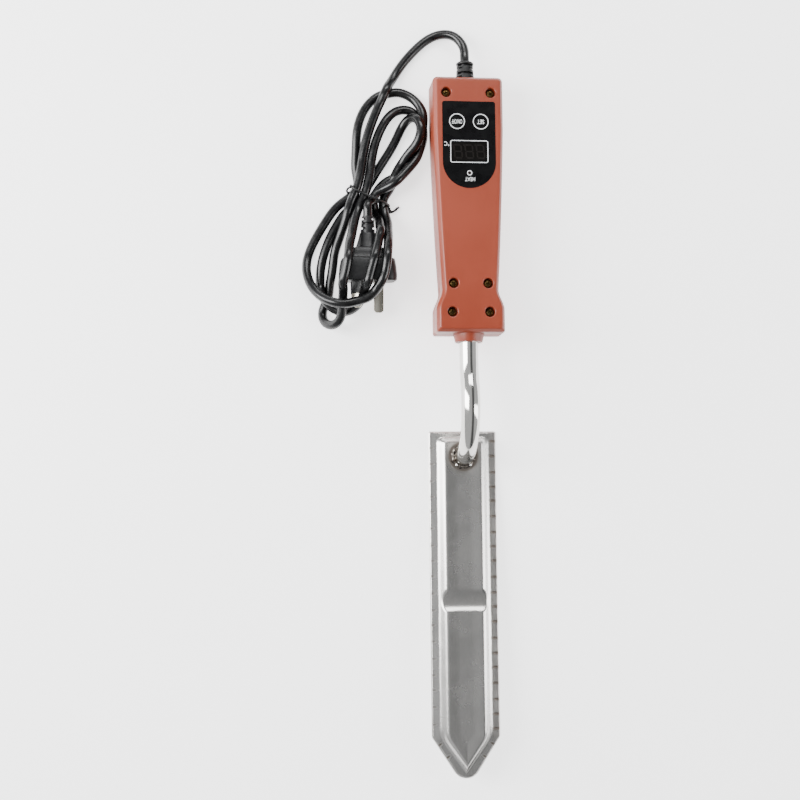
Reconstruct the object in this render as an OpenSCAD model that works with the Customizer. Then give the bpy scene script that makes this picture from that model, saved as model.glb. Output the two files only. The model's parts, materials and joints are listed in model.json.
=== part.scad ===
// Electric uncapping knife: a pressed steel blade with a heater inside, a goose-neck tube and a two-shell
// handle with a control panel, a mains lead wound into a hank, and a three-pin plug.
// Millimetres. The knife is drawn in its own frame, with the blade's underside at z = 0, its heel at y = 0
// and the handle towards +y. module knife() then lays it on the table, as it rests: on the blade's heel
// and on the far end of the handle. The cord and the plug are drawn on the table, z = 0.

/* [Blade] */
// Length from heel to tip
blade_l = 223; // [200:1:240]
// Width across the cutting edges
blade_w = 44.5; // [40:0.5:50]
// Thickness of the cutting plate
plate_t = 0.8; // [0.6:0.1:1.2]
// Thickness of the pressed cover
cover_t = 0.6; // [0.5:0.1:0.8]
// Height of the channel's top above the blade's underside
channel_top = 5; // [4.6:0.1:6]
// Radius of the blade's tip
tip_r = 9.3; // [7:0.1:11]

/* [Neck] */
// Outside diameter of the neck tube
tube_d = 12; // [11:0.5:12.5]
// Wall of the neck tube
tube_wall = 1; // [0.8:0.1:1.2]
// Bend radius of the arch over the blade
arch_r = 32; // [28:1:36]
// How far the tube dips from the arch towards the handle, in degrees
dip = 20; // [12:1:24]

/* [Handle] */
// Length of the two shells
handle_l = 164.5; // [158:0.5:172]
// Thickness of the handle, front to back
handle_t = 28; // [28:0.5:32]
// Half width at the control panel
panel_end_w = 22.5; // [22:0.1:24]
// Half width at the waist
waist_w = 18; // [17:0.1:19]
// Half width at the flare next to the neck
flare_w = 21.75; // [21:0.05:23]
// Thickness of the shells' walls
wall = 2.2; // [1.8:0.1:2.4]

/* [Controls] */
// Diameter of a key
key_d = 10.2; // [9.6:0.1:10.6]
// Travel of a key
key_travel = 0.3; // [0.2:0.05:0.35]
// Distance between the keys' centres
key_pitch = 15.2; // [14:0.1:16]

/* [Cord] */
// Outside diameter of the mains cord
cord_d = 6; // [5.5:0.1:6.5]

/* [Hidden] */
$fn = 48;
eps = 0.01;
gap = 0.1;

// Blade outline
half_w = blade_w / 2;
tip_angle = 33;
shoulder_r = 4;
heel_r = 1.5;
cover_inset = 0.5;
channel_rear = 4.2;
channel_rear_top = 6.7;
channel_foot_w = 16.4;
channel_top_w = 12.5;
channel_foot_apex = 219;
channel_top_apex = 215;
channel_shoulder = 196.5;
groove_y = -109.8;
groove_half_l = 6.7;
groove_depth = 2.2;
groove_r = (pow(groove_half_l, 2) + pow(groove_depth, 2)) / (2 * groove_depth);
groove_z = channel_top + groove_r - groove_depth;

// Heater stack, from the plate upwards
mica_t = 0.4;
ribbon_t = 0.2;
heater_w = 19;
heater_rear = -10;
heater_front = -190;
ribbon_z = plate_t + mica_t;
mica_top = ribbon_z + ribbon_t + mica_t;
eyelet_t = 0.4;
eyelet_x = 3.2;
pad_t = channel_top - cover_t - mica_top - gap;

// Neck: a vertical stub out of the channel, the arch, a short straight, a counter-bend, the straight in the handle
tube_r = tube_d / 2;
tube_y = -16.6;
tube_bottom = channel_top - cover_t;
stub_top = channel_top + 3.4;
counter_r = 40;
dip_l = 2;
dip_y0 = tube_y + arch_r + arch_r * sin(dip);
dip_z0 = stub_top + arch_r * cos(dip);
dip_y1 = dip_y0 + dip_l * cos(dip);
dip_z1 = dip_z0 - dip_l * sin(dip);
counter_y = dip_y1 + counter_r * sin(dip);
axis_z = dip_z1 + counter_r * cos(dip) - counter_r;
nose_l = 5.1;
nose_gap = 12;
handle_y = counter_y + nose_gap + nose_l;
tube_end = 44;

// Handle, in its own frame: s runs from the neck end towards the cord, z from the tube's axis
half_t = handle_t / 2;
flare_end = 14.5;
waist_s = 27;
full_s = 130;
bevel_w = 2;
bevel_h = 3;
end_round = 3;
face_z = half_t;
face_wall = 2.4;
inside_z = half_t - face_wall;
screw_at = [[14.25, 153.5], [10.95, 30.8], [11.85, 12.6]];
sink_r = 3.2;
sink_depth = 4;
head_r = 2.75;
head_h = 1.9;
boss_r = 4.2;

// Control panel
panel_t = 0.5;
panel_half_w = 17;
panel_s0 = 91.5;
panel_s1 = 147.7;
key_s = 134.6;
display_s = 115.1;
display_w = 22.5;
display_l = 14;
window_w = 22.4;
window_l = 12.4;
lamp_s = 101.3;
well_r = key_d / 2 + 0.2;
well_depth = key_travel + 0.1;
board_t = 1.6;
board_top = face_z - panel_t - 0.1 - 7.2;
board_half_w = 15;
board_s0 = 90;
board_s1 = 148;
board_screw_at = [[12.4, 93.6], [12.4, 145]];

// Power board
power_top = -5.5;
power_half_w = 13.5;
power_s0 = 48;
power_s1 = 136;
power_screw_at = [[11.3, 51], [11.3, 133]];

// Strain relief and cord clamp
relief_r = 5.9;
relief_tip_r = 5.2;
relief_l = 12.7;
relief_inner_l = 7.6;
relief_neck_r = 4.2;
relief_flange_r = 6.3;
jacket_s0 = 142;
clamp_s = 152.5;
clamp_x = 6.5;

// Lie of the knife on the table
rest_y = handle_y + handle_l - bevel_w;
tilt = atan((axis_z - half_t) / rest_y);
tail_y = handle_y + handle_l + relief_l;
reach_back = tail_y * cos(tilt) + (axis_z + relief_r) * sin(tilt);
centre_y = (reach_back - blade_l * cos(tilt)) / 2;

// Cord and plug on the table
cord_r = cord_d / 2;
tie_at = [-62, 143];
hank_turn = -20;
hank_waist_w = 27;
hank_waist_h = 14;
plug_at = [-63, 88, 13.5];
plug_turn = 0;
plug_base_l = 14.5;
plug_mid_l = 21;
plug_neck_l = 31;
plug_tail_l = 42;
pin_w = 6.35;
pin_t = 1.6;
pin_l = 17;
earth_pin_l = 20;
sleeve_l = 8;
live_pin_at = [6.86, 7.16];
earth_pin_z = -7.11;
exit_point = [0, tail_y * cos(tilt) + axis_z * sin(tilt) - centre_y, -tail_y * sin(tilt) + axis_z * cos(tilt)];
exit_way = [0, cos(tilt), -sin(tilt)];
// The lead's route from the strain relief to the hank
lead_route = [
    exit_point,
    exit_point + 5 * exit_way,
    exit_point + 10 * exit_way,
    [-1, 242, 10.9],
    [-5, 247.4, 9],
    [-12, 250, 6.4],
    [-20, 248.3, 4.4],
    [-28.5, 242.3, 3.3],
    [-36.5, 234, 3.3],
    [-43.5, 224.5, 4.6],
    [-49, 214.8, 7.4],
    [-53.8, 205.5, 9],
    [-58.5, 194.5, 9.2],
    [-62.5, 183, 9.2]
];

// ---- Placing and drawing helpers ----

// The knife's own frame, laid on the table
module knife() translate([0, -centre_y, 0]) rotate([-tilt, 0, 0]) children();

// The handle's frame: x across, s along y, z from the tube's axis
module handle() knife() translate([0, handle_y, axis_z]) children();

// A cylinder along y, from s0 to s1
module bar(r, s0, s1, x = 0, z = 0) translate([x, s1, z]) rotate([90, 0, 0]) cylinder(r = r, h = s1 - s0);

// A box from one corner to the other
module block(low, high) translate(low) cube(high - low);

// The same piece on both sides of x = 0
module both_sides() {
    children();
    mirror([1, 0, 0]) children();
}

function arc(centre, r, from, to, steps) = [
    for (i = [0:steps]) let (a = from + (to - from) * i / steps) centre + r * [cos(a), sin(a)]
];

function mirrored(points) = [for (i = [len(points) - 1:-1:0]) [-points[i].x, points[i].y]];

function smooth(t) = t * t * (3 - 2 * t);

// A curve through the points, with each stretch in equal steps
function along(p, steps) = [
    for (i = [0:len(p) - 2], k = [0:steps - 1])
        let (
            a = p[max(i - 1, 0)], b = p[i], c = p[i + 1], d = p[min(i + 2, len(p) - 1)], t = k / steps
        )
        0.5 * (2 * b + (c - a) * t + (2 * a - 5 * b + 4 * c - d) * t * t + (3 * b - a - 3 * c + d) * t * t * t),
    p[len(p) - 1]
];

function unit(v) = v / norm(v);

// Directions along a path, and the rings' first axes carried along it without twist
function tangents(p) = [for (i = [0:len(p) - 1]) unit(p[min(i + 1, len(p) - 1)] - p[max(i - 1, 0)])];

function carried(t, i, side) = i >= len(t) ? [] : let (s = unit(side - t[i] * (side * t[i])))
    concat([s], carried(t, i + 1, s));

// A tube along a path, as one polyhedron
module sweep(path, r, sides = 8) {
    t = tangents(path);
    s = carried(t, 0, abs(t[0].z) > 0.9 ? [1, 0, 0] : [0, 0, 1]);
    n = len(path);
    points = [for (i = [0:n - 1], k = [0:sides - 1])
        path[i] + r * (cos(360 * k / sides) * s[i] + sin(360 * k / sides) * cross(t[i], s[i]))];
    walls = [for (i = [0:n - 2], k = [0:sides - 1])
        let (a = i * sides + k, b = i * sides + (k + 1) % sides) [a, b, b + sides, a + sides]];
    caps = [[for (k = [sides - 1:-1:0]) k], [for (k = [0:sides - 1]) (n - 1) * sides + k]];
    polyhedron(points, [for (f = concat(walls, caps)) [for (k = [len(f) - 1:-1:0]) f[k]]], convexity = 10);
}

// A rounded rectangle with true arcs
module rounded(w, l, r) {
    square([w - 2 * r, l], center = true);
    square([w, l - 2 * r], center = true);
    for (x = [-1, 1], y = [-1, 1]) translate([x * (w / 2 - r), y * (l / 2 - r)]) circle(r);
}

// ---- Blade ----

// Distance of a converging edge's line from the origin, along its normal
edge_line = (blade_l - tip_r) * sin(tip_angle) + tip_r;

function blade_side(inset) =
    let (
        w = half_w - inset,
        r = shoulder_r - inset,
        y = -(edge_line - shoulder_r - (half_w - shoulder_r) * cos(tip_angle)) / sin(tip_angle)
    )
    concat(
        arc([w - heel_r, -inset - heel_r], heel_r, 90, 0, 4),
        arc([w - r, y], r, 0, -tip_angle, 4),
        arc([0, -(blade_l - tip_r)], tip_r - inset, -tip_angle, -90, 8)
    );

module blade_outline(inset) {
    side = blade_side(inset);
    polygon(concat(side, mirrored(side)));
}

module blade_plate() color("silver") knife() linear_extrude(plate_t) blade_outline(0);

function channel_plan(w, rear, apex, inset) = [
    [w - inset, -rear - inset],
    [w - inset, -channel_shoulder],
    [0, -apex + inset / sin(tip_angle)],
    [inset - w, -channel_shoulder],
    [inset - w, -rear - inset]
];

module channel_form(foot_inset, top_inset, low, high) hull() {
    translate([0, 0, low]) linear_extrude(eps)
        polygon(channel_plan(channel_foot_w, channel_rear, channel_foot_apex, foot_inset));
    translate([0, 0, high - eps]) linear_extrude(eps)
        polygon(channel_plan(channel_top_w, channel_rear_top, channel_top_apex, top_inset));
}

module cross_groove(r) translate([-blade_w / 2, groove_y, groove_z]) rotate([0, 90, 0])
    cylinder(r = r, h = blade_w);

module channel_cover() color("gainsboro") knife() difference() {
    union() {
        translate([0, 0, plate_t]) linear_extrude(cover_t) blade_outline(cover_inset);
        channel_form(0, 0, plate_t, channel_top);
    }
    difference() {
        channel_form(0.75, 0.3, plate_t - eps, channel_top - cover_t);
        cross_groove(groove_r + cover_t);
    }
    cross_groove(groove_r);
    translate([0, tube_y, tube_bottom - 1]) cylinder(r = tube_r + 0.05, h = 3);
}

module heater_sheet(z, t, inset) translate([-heater_w / 2 + inset, heater_front + inset, z])
    cube([heater_w - 2 * inset, heater_rear - heater_front - 2 * inset, t]);

module mica_lower() color("tan") knife() heater_sheet(plate_t, mica_t, 0);

// The resistance ribbon goes down one side and back up the other, between the mica sheets
module heating_ribbon() color("slategray") knife() difference() {
    heater_sheet(ribbon_z, ribbon_t, 1.5);
    for (i = [0:16]) {
        x = i % 2 == 0 ? -heater_w / 2 : -heater_w / 2 + 4;
        translate([x, heater_front + 9 + i * 10, ribbon_z - 1]) cube([heater_w - 4, 5, 3]);
    }
}

module mica_upper() color("tan") knife() difference() {
    heater_sheet(ribbon_z + ribbon_t, mica_t, 0);
    both_sides() translate([eyelet_x, tube_y, ribbon_z]) cylinder(r = 0.8, h = 2);
}

module heater_eyelets() color("goldenrod") knife() both_sides() translate([eyelet_x, tube_y, 0]) {
    translate([0, 0, ribbon_z + ribbon_t]) cylinder(r = 0.8, h = mica_t);
    translate([0, 0, mica_top]) cylinder(r = 1.6, h = eyelet_t);
}

// The ceramic-fibre pads fill the channel on each side of the pressed groove
module insulation_front() color("white") knife()
    block([-9, heater_front, mica_top], [9, groove_y - 10, mica_top + pad_t]);

module insulation_rear() color("white") knife() difference() {
    block([-9, groove_y + 10, mica_top], [9, tube_y - 8, mica_top + pad_t]);
    block([-1.2, groove_y + 9, mica_top - 1], [1.2, tube_y - 7, channel_top]);
}

sensor_z = mica_top + 0.75;
sensor_bend_r = 1.6;

module temperature_sensor() color("darkorange") knife() {
    bar(0.7, groove_y + 11, groove_y + 17, z = sensor_z);
}

// ---- Neck ----

// A round bar that follows the neck, shifted by dx across it and by out away from the arch's centre.
// A thin bead, a hair wider than the bar, joins each bend to the next straight.
module bead(r) translate([0, 0, -0.1]) cylinder(r = r + 0.02, h = 0.2);

module neck_bar(r, dx = 0, out = 0, from_z = tube_bottom, to_s = tube_end) {
    translate([dx, tube_y - out, from_z]) cylinder(r = r, h = stub_top - from_z);
    translate([dx, tube_y - out, stub_top]) bead(r);
    translate([0, tube_y + arch_r, stub_top]) rotate([90, 0, 90]) rotate([0, 0, 90 - dip])
        rotate_extrude(angle = 90 + dip) translate([arch_r + out, dx]) circle(r);
    translate([dx, dip_y0 + out * sin(dip), dip_z0 + out * cos(dip)]) rotate([-90 - dip, 0, 0]) {
        bead(r);
        cylinder(r = r, h = dip_l);
        translate([0, 0, dip_l]) bead(r);
    }
    translate([0, counter_y, axis_z + counter_r]) rotate([90, 0, 90]) rotate([0, 0, -90 - dip])
        rotate_extrude(angle = dip) translate([counter_r - out, dx]) circle(r);
    translate([dx, counter_y, axis_z + out]) rotate([-90, 0, 0]) {
        bead(r);
        cylinder(r = r, h = handle_y - counter_y + to_s);
    }
}

module neck_tube() color("lightgray") knife() difference() {
    neck_bar(tube_r);
    neck_bar(tube_r - tube_wall, from_z = tube_bottom - 1, to_s = tube_end + 1);
}

weld_w = 3;
weld_h = 1.5;

module neck_weld() color("dimgray") knife() translate([0, tube_y, channel_top])
    rotate_extrude() difference() {
        translate([tube_r + 0.02, 0]) square([weld_w, weld_h]);
        translate([tube_r + 0.02 + weld_w + 0.8, weld_h + 1.4]) circle(2.6);
    }

lead_r = 0.9;

module heater_lead(side) knife()
    neck_bar(lead_r, dx = side * eyelet_x, out = 0, from_z = mica_top + eyelet_t, to_s = power_s0 + 5);

module heater_lead_live() color("firebrick") heater_lead(-1);

module heater_lead_neutral() color("white") heater_lead(1);

// The sensor's lead comes down the tube and turns along the channel to the sensor
module sensor_lead() color("khaki") knife() {
    neck_bar(0.7, out = 2.4, from_z = sensor_z + sensor_bend_r, to_s = power_s0 + 5);
    translate([0, tube_y - 2.4, sensor_z + sensor_bend_r]) bead(0.7);
    translate([0, tube_y - 2.4 - sensor_bend_r, sensor_z + sensor_bend_r]) rotate([90, 0, 90])
        rotate([0, 0, -90]) rotate_extrude(angle = 90) translate([sensor_bend_r, 0]) circle(0.7);
    translate([0, tube_y - 2.4 - sensor_bend_r, sensor_z]) rotate([90, 0, 0]) bead(0.7);
    bar(0.7, groove_y + 17, tube_y - 2.4 - sensor_bend_r, z = sensor_z);
}

// ---- Handle ----

function half_width(s) =
    s < flare_end ? flare_w :
    s < waist_s ? flare_w - (flare_w - waist_w) * smooth((s - flare_end) / (waist_s - flare_end)) :
    s < full_s ? let (u = (s - waist_s) / (full_s - waist_s)) waist_w + (panel_end_w - waist_w) * u * (1.35 - 0.35 * u) :
    panel_end_w;

side_steps = concat([flare_end / 2], [for (k = [0:6]) flare_end + (waist_s - flare_end) * k / 6],
    [for (k = [1:7]) waist_s + (full_s - waist_s) * k / 7]);

// One side of the handle's outline, moved in by inset all round
function handle_side(inset) = concat(
    [[flare_w - inset - 0.8, inset], [flare_w - inset, inset + 0.8]],
    [for (s = side_steps) [half_width(s) - inset, s]],
    arc([panel_end_w - end_round, handle_l - end_round], end_round - min(inset, end_round - 0.3), 0, 90, 3)
);

module handle_outline(inset) {
    side = handle_side(inset);
    polygon(concat(side, mirrored(side)));
}

// The outside of one half: straight walls, then a bevel round the face. It starts 1 mm under the seam.
module half_form() {
    side_a = handle_side(0);
    side_b = handle_side(bevel_w);
    ring_a = concat(side_a, mirrored(side_a));
    ring_b = concat(side_b, mirrored(side_b));
    n = len(ring_a);
    levels = [[ring_a, -1], [ring_a, half_t - bevel_h], [ring_b, half_t]];
    points = [for (level = levels, p = level[0]) [p.x, p.y, level[1]]];
    walls = [for (i = [0:1], k = [0:n - 1])
        let (a = i * n + k, b = i * n + (k + 1) % n) [a, a + n, b + n, b]];
    polyhedron(points, concat(walls, [[for (k = [0:n - 1]) k]], [[for (k = [n - 1:-1:0]) 2 * n + k]]),
        convexity = 4);
}

module nose() rotate([90, 0, 0]) cylinder(r1 = 9.8, r2 = 8.75, h = nose_l);

// Ribs that cradle the tube, and the two that trap the anchor plate
rib_at = [17.6, 21.6];
rib_t = 1.6;

module ribs() for (s = rib_at) block([-wall - 12, s, 0], [wall + 12, s + rib_t, inside_z + eps]);

// The half above z = 0, without its openings; both shells start from it
module shell_half(post_r) {
    difference() {
        union() {
            half_form();
            intersection() {
                nose();
                block([-11, -nose_l - 1, 0], [11, 1, 11]);
            }
        }
        translate([0, 0, -2]) linear_extrude(inside_z + 2) handle_outline(wall);
        block([-30, -nose_l - 2, -3], [30, handle_l + 2, 0]);
    }
    ribs();
    both_sides() for (p = screw_at) translate([p.x, p.y, 0]) cylinder(r = post_r, h = inside_z + eps);
}

// What passes through the seam between the shells
module seam_openings() {
    bar(tube_r + 0.05, -nose_l - 1, 30);
    bar(relief_neck_r + 0.05, handle_l - wall - 1, handle_l + 1);
}

module panel_plan(inset, grow = 0) {
    r = panel_half_w - inset + grow;
    top = panel_s1 - inset + grow;
    translate([0, panel_s0 + panel_half_w]) circle(r);
    translate([-r, panel_s0 + panel_half_w]) square([2 * r, top - panel_s0 - panel_half_w - 1.5]);
    translate([-r + 1.5, top - 2]) square([2 * r - 3, 2]);
    both_sides() translate([r - 1.5, top - 1.5]) circle(1.5);
}

module at_keys() both_sides() translate([key_pitch / 2, key_s, 0]) children();

module front_shell() color("indianred") handle() difference() {
    union() {
        shell_half(boss_r);
        both_sides() for (p = board_screw_at) translate([p.x, p.y, board_top])
            cylinder(r = 2.3, h = inside_z - board_top + eps);
    }
    seam_openings();
    both_sides() for (p = screw_at) translate([p.x, p.y, 0]) {
        translate([0, 0, -1]) cylinder(r = 1.6, h = face_z);
        translate([0, 0, face_z - sink_depth]) cylinder(r = sink_r, h = sink_depth + 1);
    }
    both_sides() for (p = board_screw_at) translate([p.x, p.y, board_top - 1]) cylinder(r = 0.8, h = 5);
    translate([0, 0, face_z - panel_t]) linear_extrude(2) panel_plan(0, gap);
    block([-display_w / 2 - 0.2, display_s - display_l / 2 - 0.2, 5],
        [display_w / 2 + 0.2, display_s + display_l / 2 + 0.2, 20]);
    at_keys() {
        translate([0, 0, face_z - panel_t - well_depth]) cylinder(r = well_r, h = 2);
        translate([0, 0, 9]) cylinder(r = 2, h = 6);
    }
    translate([0, lamp_s, 9]) cylinder(r = 2.05, h = 6);
}

module back_shell() color("indianred") handle() mirror([0, 0, 1]) difference() {
    union() {
        shell_half(3.8);
        both_sides() for (p = power_screw_at)
            translate([p.x, p.y, board_t - power_top]) cylinder(r = 2.2, h = inside_z + power_top - board_t + eps);
        both_sides() translate([clamp_x, clamp_s, -cord_r]) cylinder(r = 2.4, h = inside_z + cord_r + eps);
        block([-clamp_x, clamp_s - 1, cord_r], [clamp_x, clamp_s + 1, inside_z + eps]);
    }
    seam_openings();
    both_sides() for (p = screw_at) translate([p.x, p.y, -1]) cylinder(r = 1.2, h = inside_z);
    both_sides() for (p = power_screw_at) translate([p.x, p.y, 5]) cylinder(r = 0.8, h = 6);
    both_sides() translate([clamp_x, clamp_s, -cord_r - 1]) cylinder(r = 0.9, h = 10);
}

// A pan-head screw with a cross recess: its head sits at z = 0 and its shank points down
module screw(r_head, h_head, r_shank, l_shank) {
    difference() {
        cylinder(r = r_head, h = h_head);
        for (a = [0, 90]) rotate([0, 0, a])
            block([-r_head * 0.6, -r_head * 0.12, h_head * 0.4], [r_head * 0.6, r_head * 0.12, h_head + 1]);
    }
    translate([0, 0, -l_shank]) cylinder(r = r_shank, h = l_shank);
}

module shell_screws() color("darkgoldenrod") handle() both_sides() for (p = screw_at)
    translate([p.x, p.y, face_z - sink_depth]) screw(head_r, head_h, 1.18, 20);

module tube_anchor_plate() color("silver") handle() difference() {
    block([-9, rib_at[0] + rib_t + gap, -10], [9, rib_at[1] - gap, 10]);
    bar(tube_r + 0.02, 0, 60);
}

module earth_clip() color("gold") handle() {
    difference() {
        bar(tube_r + 0.7, 37, 42);
        bar(tube_r + 0.02, 36, 43);
    }
    block([-11, 37, -0.4], [-tube_r - 0.4, 42, 0.4]);
}

// ---- Control panel ----

module panel_overlay() color("black") handle() translate([0, 0, face_z - panel_t]) difference() {
    linear_extrude(panel_t) panel_plan(0);
    at_keys() translate([0, 0, -1]) cylinder(r = key_d / 2 + gap, h = 3);
    translate([0, display_s, -1]) linear_extrude(3) square([window_w, window_l], center = true);
    translate([0, lamp_s, -1]) cylinder(r = 1.1, h = 3);
}

module key(side) handle() translate([side * key_pitch / 2, key_s, face_z - panel_t])
    cylinder(r = key_d / 2, h = panel_t);

module on_off_key() color("black") key(-1);

module set_key() color("black") key(1);

switch_top = board_top + 3.5;

module plunger(side) handle() translate([side * key_pitch / 2, key_s, switch_top - 0.6])
    cylinder(r = 1.7, h = face_z - panel_t - switch_top + 0.6);

module on_off_plunger() color("dimgray") plunger(-1);

module set_plunger() color("dimgray") plunger(1);

module tact_switches() color("gray") handle() at_keys() difference() {
    translate([-3, -3, board_top]) cube([6, 6, 3.5]);
    translate([0, 0, switch_top - 1.1]) cylinder(r = 1.8, h = 3);
}

module display_lens() color("dimgray") handle() translate([0, display_s, face_z - panel_t])
    linear_extrude(panel_t) square([window_w - gap, window_l - gap], center = true);

module display_module() color("darkslategray") handle()
    block([-display_w / 2, display_s - display_l / 2, board_top],
        [display_w / 2, display_s + display_l / 2, face_z - panel_t - 0.1]);

module heat_lamp() color("red") handle() translate([0, lamp_s, board_top]) {
    both_sides() translate([0.9, 0, 0]) cylinder(r = 0.25, h = 2);
    translate([0, 0, 2]) cylinder(r = 1.9, h = 1);
    translate([0, 0, 3]) cylinder(r = 1.5, h = 2.7);
    translate([0, 0, 5.7]) intersection() {
        sphere(1.5);
        cylinder(r = 2, h = 2);
    }
}

// ---- Boards ----

module display_board() color("darkgreen") handle() difference() {
    block([-board_half_w, board_s0, board_top - board_t], [board_half_w, board_s1, board_top]);
    both_sides() for (p = board_screw_at) translate([p.x, p.y, 0]) cylinder(r = 1.1, h = 20);
}

module display_board_screws() color("silver") handle() both_sides() for (p = board_screw_at)
    translate([p.x, p.y, board_top - board_t]) mirror([0, 0, 1]) screw(1.8, 1.2, 0.78, 5);

module power_board() color("darkgreen") handle() difference() {
    block([-power_half_w, power_s0, power_top - board_t], [power_half_w, power_s1, power_top]);
    both_sides() for (p = power_screw_at) translate([p.x, p.y, -20]) cylinder(r = 1.1, h = 40);
}

module power_board_screws() color("silver") handle() both_sides() for (p = power_screw_at)
    translate([p.x, p.y, power_top]) screw(1.8, 1.2, 0.78, 5);

module board_link() color("black") handle()
    block([-11, 110, power_top], [-8.5, 122, board_top - board_t]);

// A terminal block with its wire holes towards the side that the wires come from
module terminal(s0, s1, half, holes, from_low) difference() {
    block([-half, s0, power_top], [half, s1, 3.4]);
    for (h = holes) if (from_low) bar(h[2], s0 - 1, s0 + 5, x = h[0], z = h[1]);
        else bar(h[2], s1 - 5, s1 + 1, x = h[0], z = h[1]);
}

module heater_terminal() color("seagreen") handle()
    terminal(power_s0 + 1.5, power_s0 + 12, 8, [[-eyelet_x, 0, 0.95], [eyelet_x, 0, 0.95], [0, 2.4, 0.75]], true);

core_r = 1.1;
core_pitch = 3.6;

module mains_terminal() color("seagreen") handle()
    terminal(124, 134.5, 8, [for (k = [-1, 0]) [k * core_pitch + core_pitch / 2, 0, core_r + 0.05]], false);

module heat_sink() color("lightgray") handle() {
    block([-10, 64, power_top], [10, 78, power_top + 2]);
    for (k = [0:5]) block([-10 + k * 3.76, 64, power_top + 2 - eps], [-8.8 + k * 3.76, 78, 0]);
}

module triac() color("dimgray") handle() {
    block([-5, 78, power_top], [5, 82.5, 2.6]);
}

module film_capacitor() color("gold") handle() block([-9, 85, power_top], [9, 93.5, 2.4]);

module electrolytic_capacitor() color("midnightblue") handle() translate([-4, 102, power_top])
    cylinder(r = 4, h = 8);

module fuse() color("lightcyan") handle() bar(2.6, 99, 119, x = 7, z = power_top + 2.6);

// ---- Cord inlet ----

// Rows of slots, turned a quarter from one row to the next, let the sleeve bend
slot_rows = [2.2, 4.9, 8.1, 10.6];
slot_l = 1.2;

module strain_relief() color("black") handle() translate([0, handle_l, 0]) difference() {
    union() {
        rotate([-90, 0, 0]) cylinder(r1 = relief_r, r2 = relief_tip_r, h = relief_l);
        bar(relief_neck_r, -wall - eps, eps);
        bar(relief_flange_r, -wall - 2, -wall);
        bar(relief_neck_r, -relief_inner_l, -wall - 1);
    }
    bar(cord_r, -relief_inner_l - 1, relief_l + 1);
    for (i = [0:len(slot_rows) - 1]) rotate([0, i % 2 * 90, 0]) difference() {
        bar(relief_r + 1, slot_rows[i] - slot_l / 2, slot_rows[i] + slot_l / 2);
        bar(relief_neck_r, 0, relief_l);
        block([-10, 0, -1.75], [10, relief_l, 1.75]);
    }
}

module cord_jacket_inside() color("black") handle() bar(cord_r, jacket_s0, handle_l + relief_l);

module mains_core_live() color("saddlebrown") handle()
    bar(core_r, 130, jacket_s0, x = -core_pitch / 2);

module mains_core_neutral() color("royalblue") handle()
    bar(core_r, 130, jacket_s0, x = core_pitch / 2);

// The earth core runs along the handle's side to the clip on the neck tube
earth_route = [[0, jacket_s0, 2], [0, jacket_s0 - 1, 2], [0, jacket_s0 - 2, 2], [-4, 137, 2.4], [-10, 135, 1], [-14.6, 128, -2], [-15.4, 115, -3],
    [-15, 90, -3], [-14.8, 70, -3], [-14.6, 56, -2], [-13.4, 48, 0], [-11.9, 42.6, 0]];

module mains_core_earth() color("yellowgreen") handle() sweep(along(earth_route, 3), core_r - 0.1);

module cord_clamp_bar() color("black") handle() difference() {
    block([-9.2, clamp_s - 2.5, cord_r], [9.2, clamp_s + 2.5, cord_r + 2]);
    both_sides() translate([clamp_x, clamp_s, 0]) cylinder(r = 1.2, h = 10);
}

module cord_clamp_screws() color("silver") handle() both_sides() translate([clamp_x, clamp_s, cord_r + 2])
    screw(2, 1.4, 0.87, 9);

// ---- Cord, hank and plug, on the table ----

module cord() color("black") sweep(along(lead_route, 5), cord_r, 8);

module at_hank() translate([tie_at.x, tie_at.y, 0]) rotate([0, 0, hank_turn]) children();

// A lobe of the hank: from the waist out to a round end
module lobe(waist, far, r, h) linear_extrude(h) hull() {
    translate([0, waist]) square([hank_waist_w, 1], center = true);
    translate(far) circle(r);
}

module cord_hank() color("black") difference() {
    at_hank() {
        lobe(3, [0, 46], 22, 18);
        translate([-hank_waist_w / 2, -4, 0]) cube([hank_waist_w, 8, hank_waist_h]);
        lobe(-3, [3, -56.5], 26.5, 33.4);
    }
    at_plug() plug_room();
}

module cord_tie() color("black") at_hank() rotate([90, 0, 0]) translate([0, hank_waist_h / 2, -0.6])
    linear_extrude(1.2) difference() {
        rounded(hank_waist_w + 3, hank_waist_h - 0.4, 1);
        square([hank_waist_w + 0.4, 60], center = true);
    }

module at_plug() translate(plug_at) rotate([0, 0, plug_turn]) children();

module plug_section(w, h, r, y0, y1) translate([0, y1, 0]) rotate([90, 0, 0])
    linear_extrude(y1 - y0) rounded(w, h, r);

module plug_room() {
    block([-19, -earth_pin_l - 2, -20], [19, plug_mid_l + 1, 14]);
    block([-9, plug_mid_l, -20], [9, plug_tail_l, 9]);
}

module plug_body() color("black") at_plug() {
    plug_section(36.5, 27, 6, 0, plug_base_l);
    plug_section(28.5, 20, 5, plug_base_l - eps, plug_mid_l);
    translate([0, plug_neck_l, 0]) rotate([90, 0, 0]) cylinder(r1 = 5.2, r2 = 7.6, h = plug_neck_l - plug_mid_l + eps);
}

module plug_tail() color("black") at_plug() difference() {
    bar(4.4, plug_neck_l, plug_tail_l);
    for (y = [plug_neck_l + 3, plug_neck_l + 6, plug_neck_l + 9]) difference() {
        bar(6, y - 0.6, y + 0.6);
        bar(3.5, y - 1, y + 1);
    }
}

// The plug lies on its side, so the group of pins is turned a quarter
module at_pins() at_plug() rotate([0, -90, 0]) children();

module live_place(side) translate([side * live_pin_at.x, 0, live_pin_at.y]) rotate([0, -side * 30, 0]) children();

module pin_blade(l) block([-pin_t / 2, -l, -pin_w / 2], [pin_t / 2, 0, pin_w / 2]);

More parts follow.
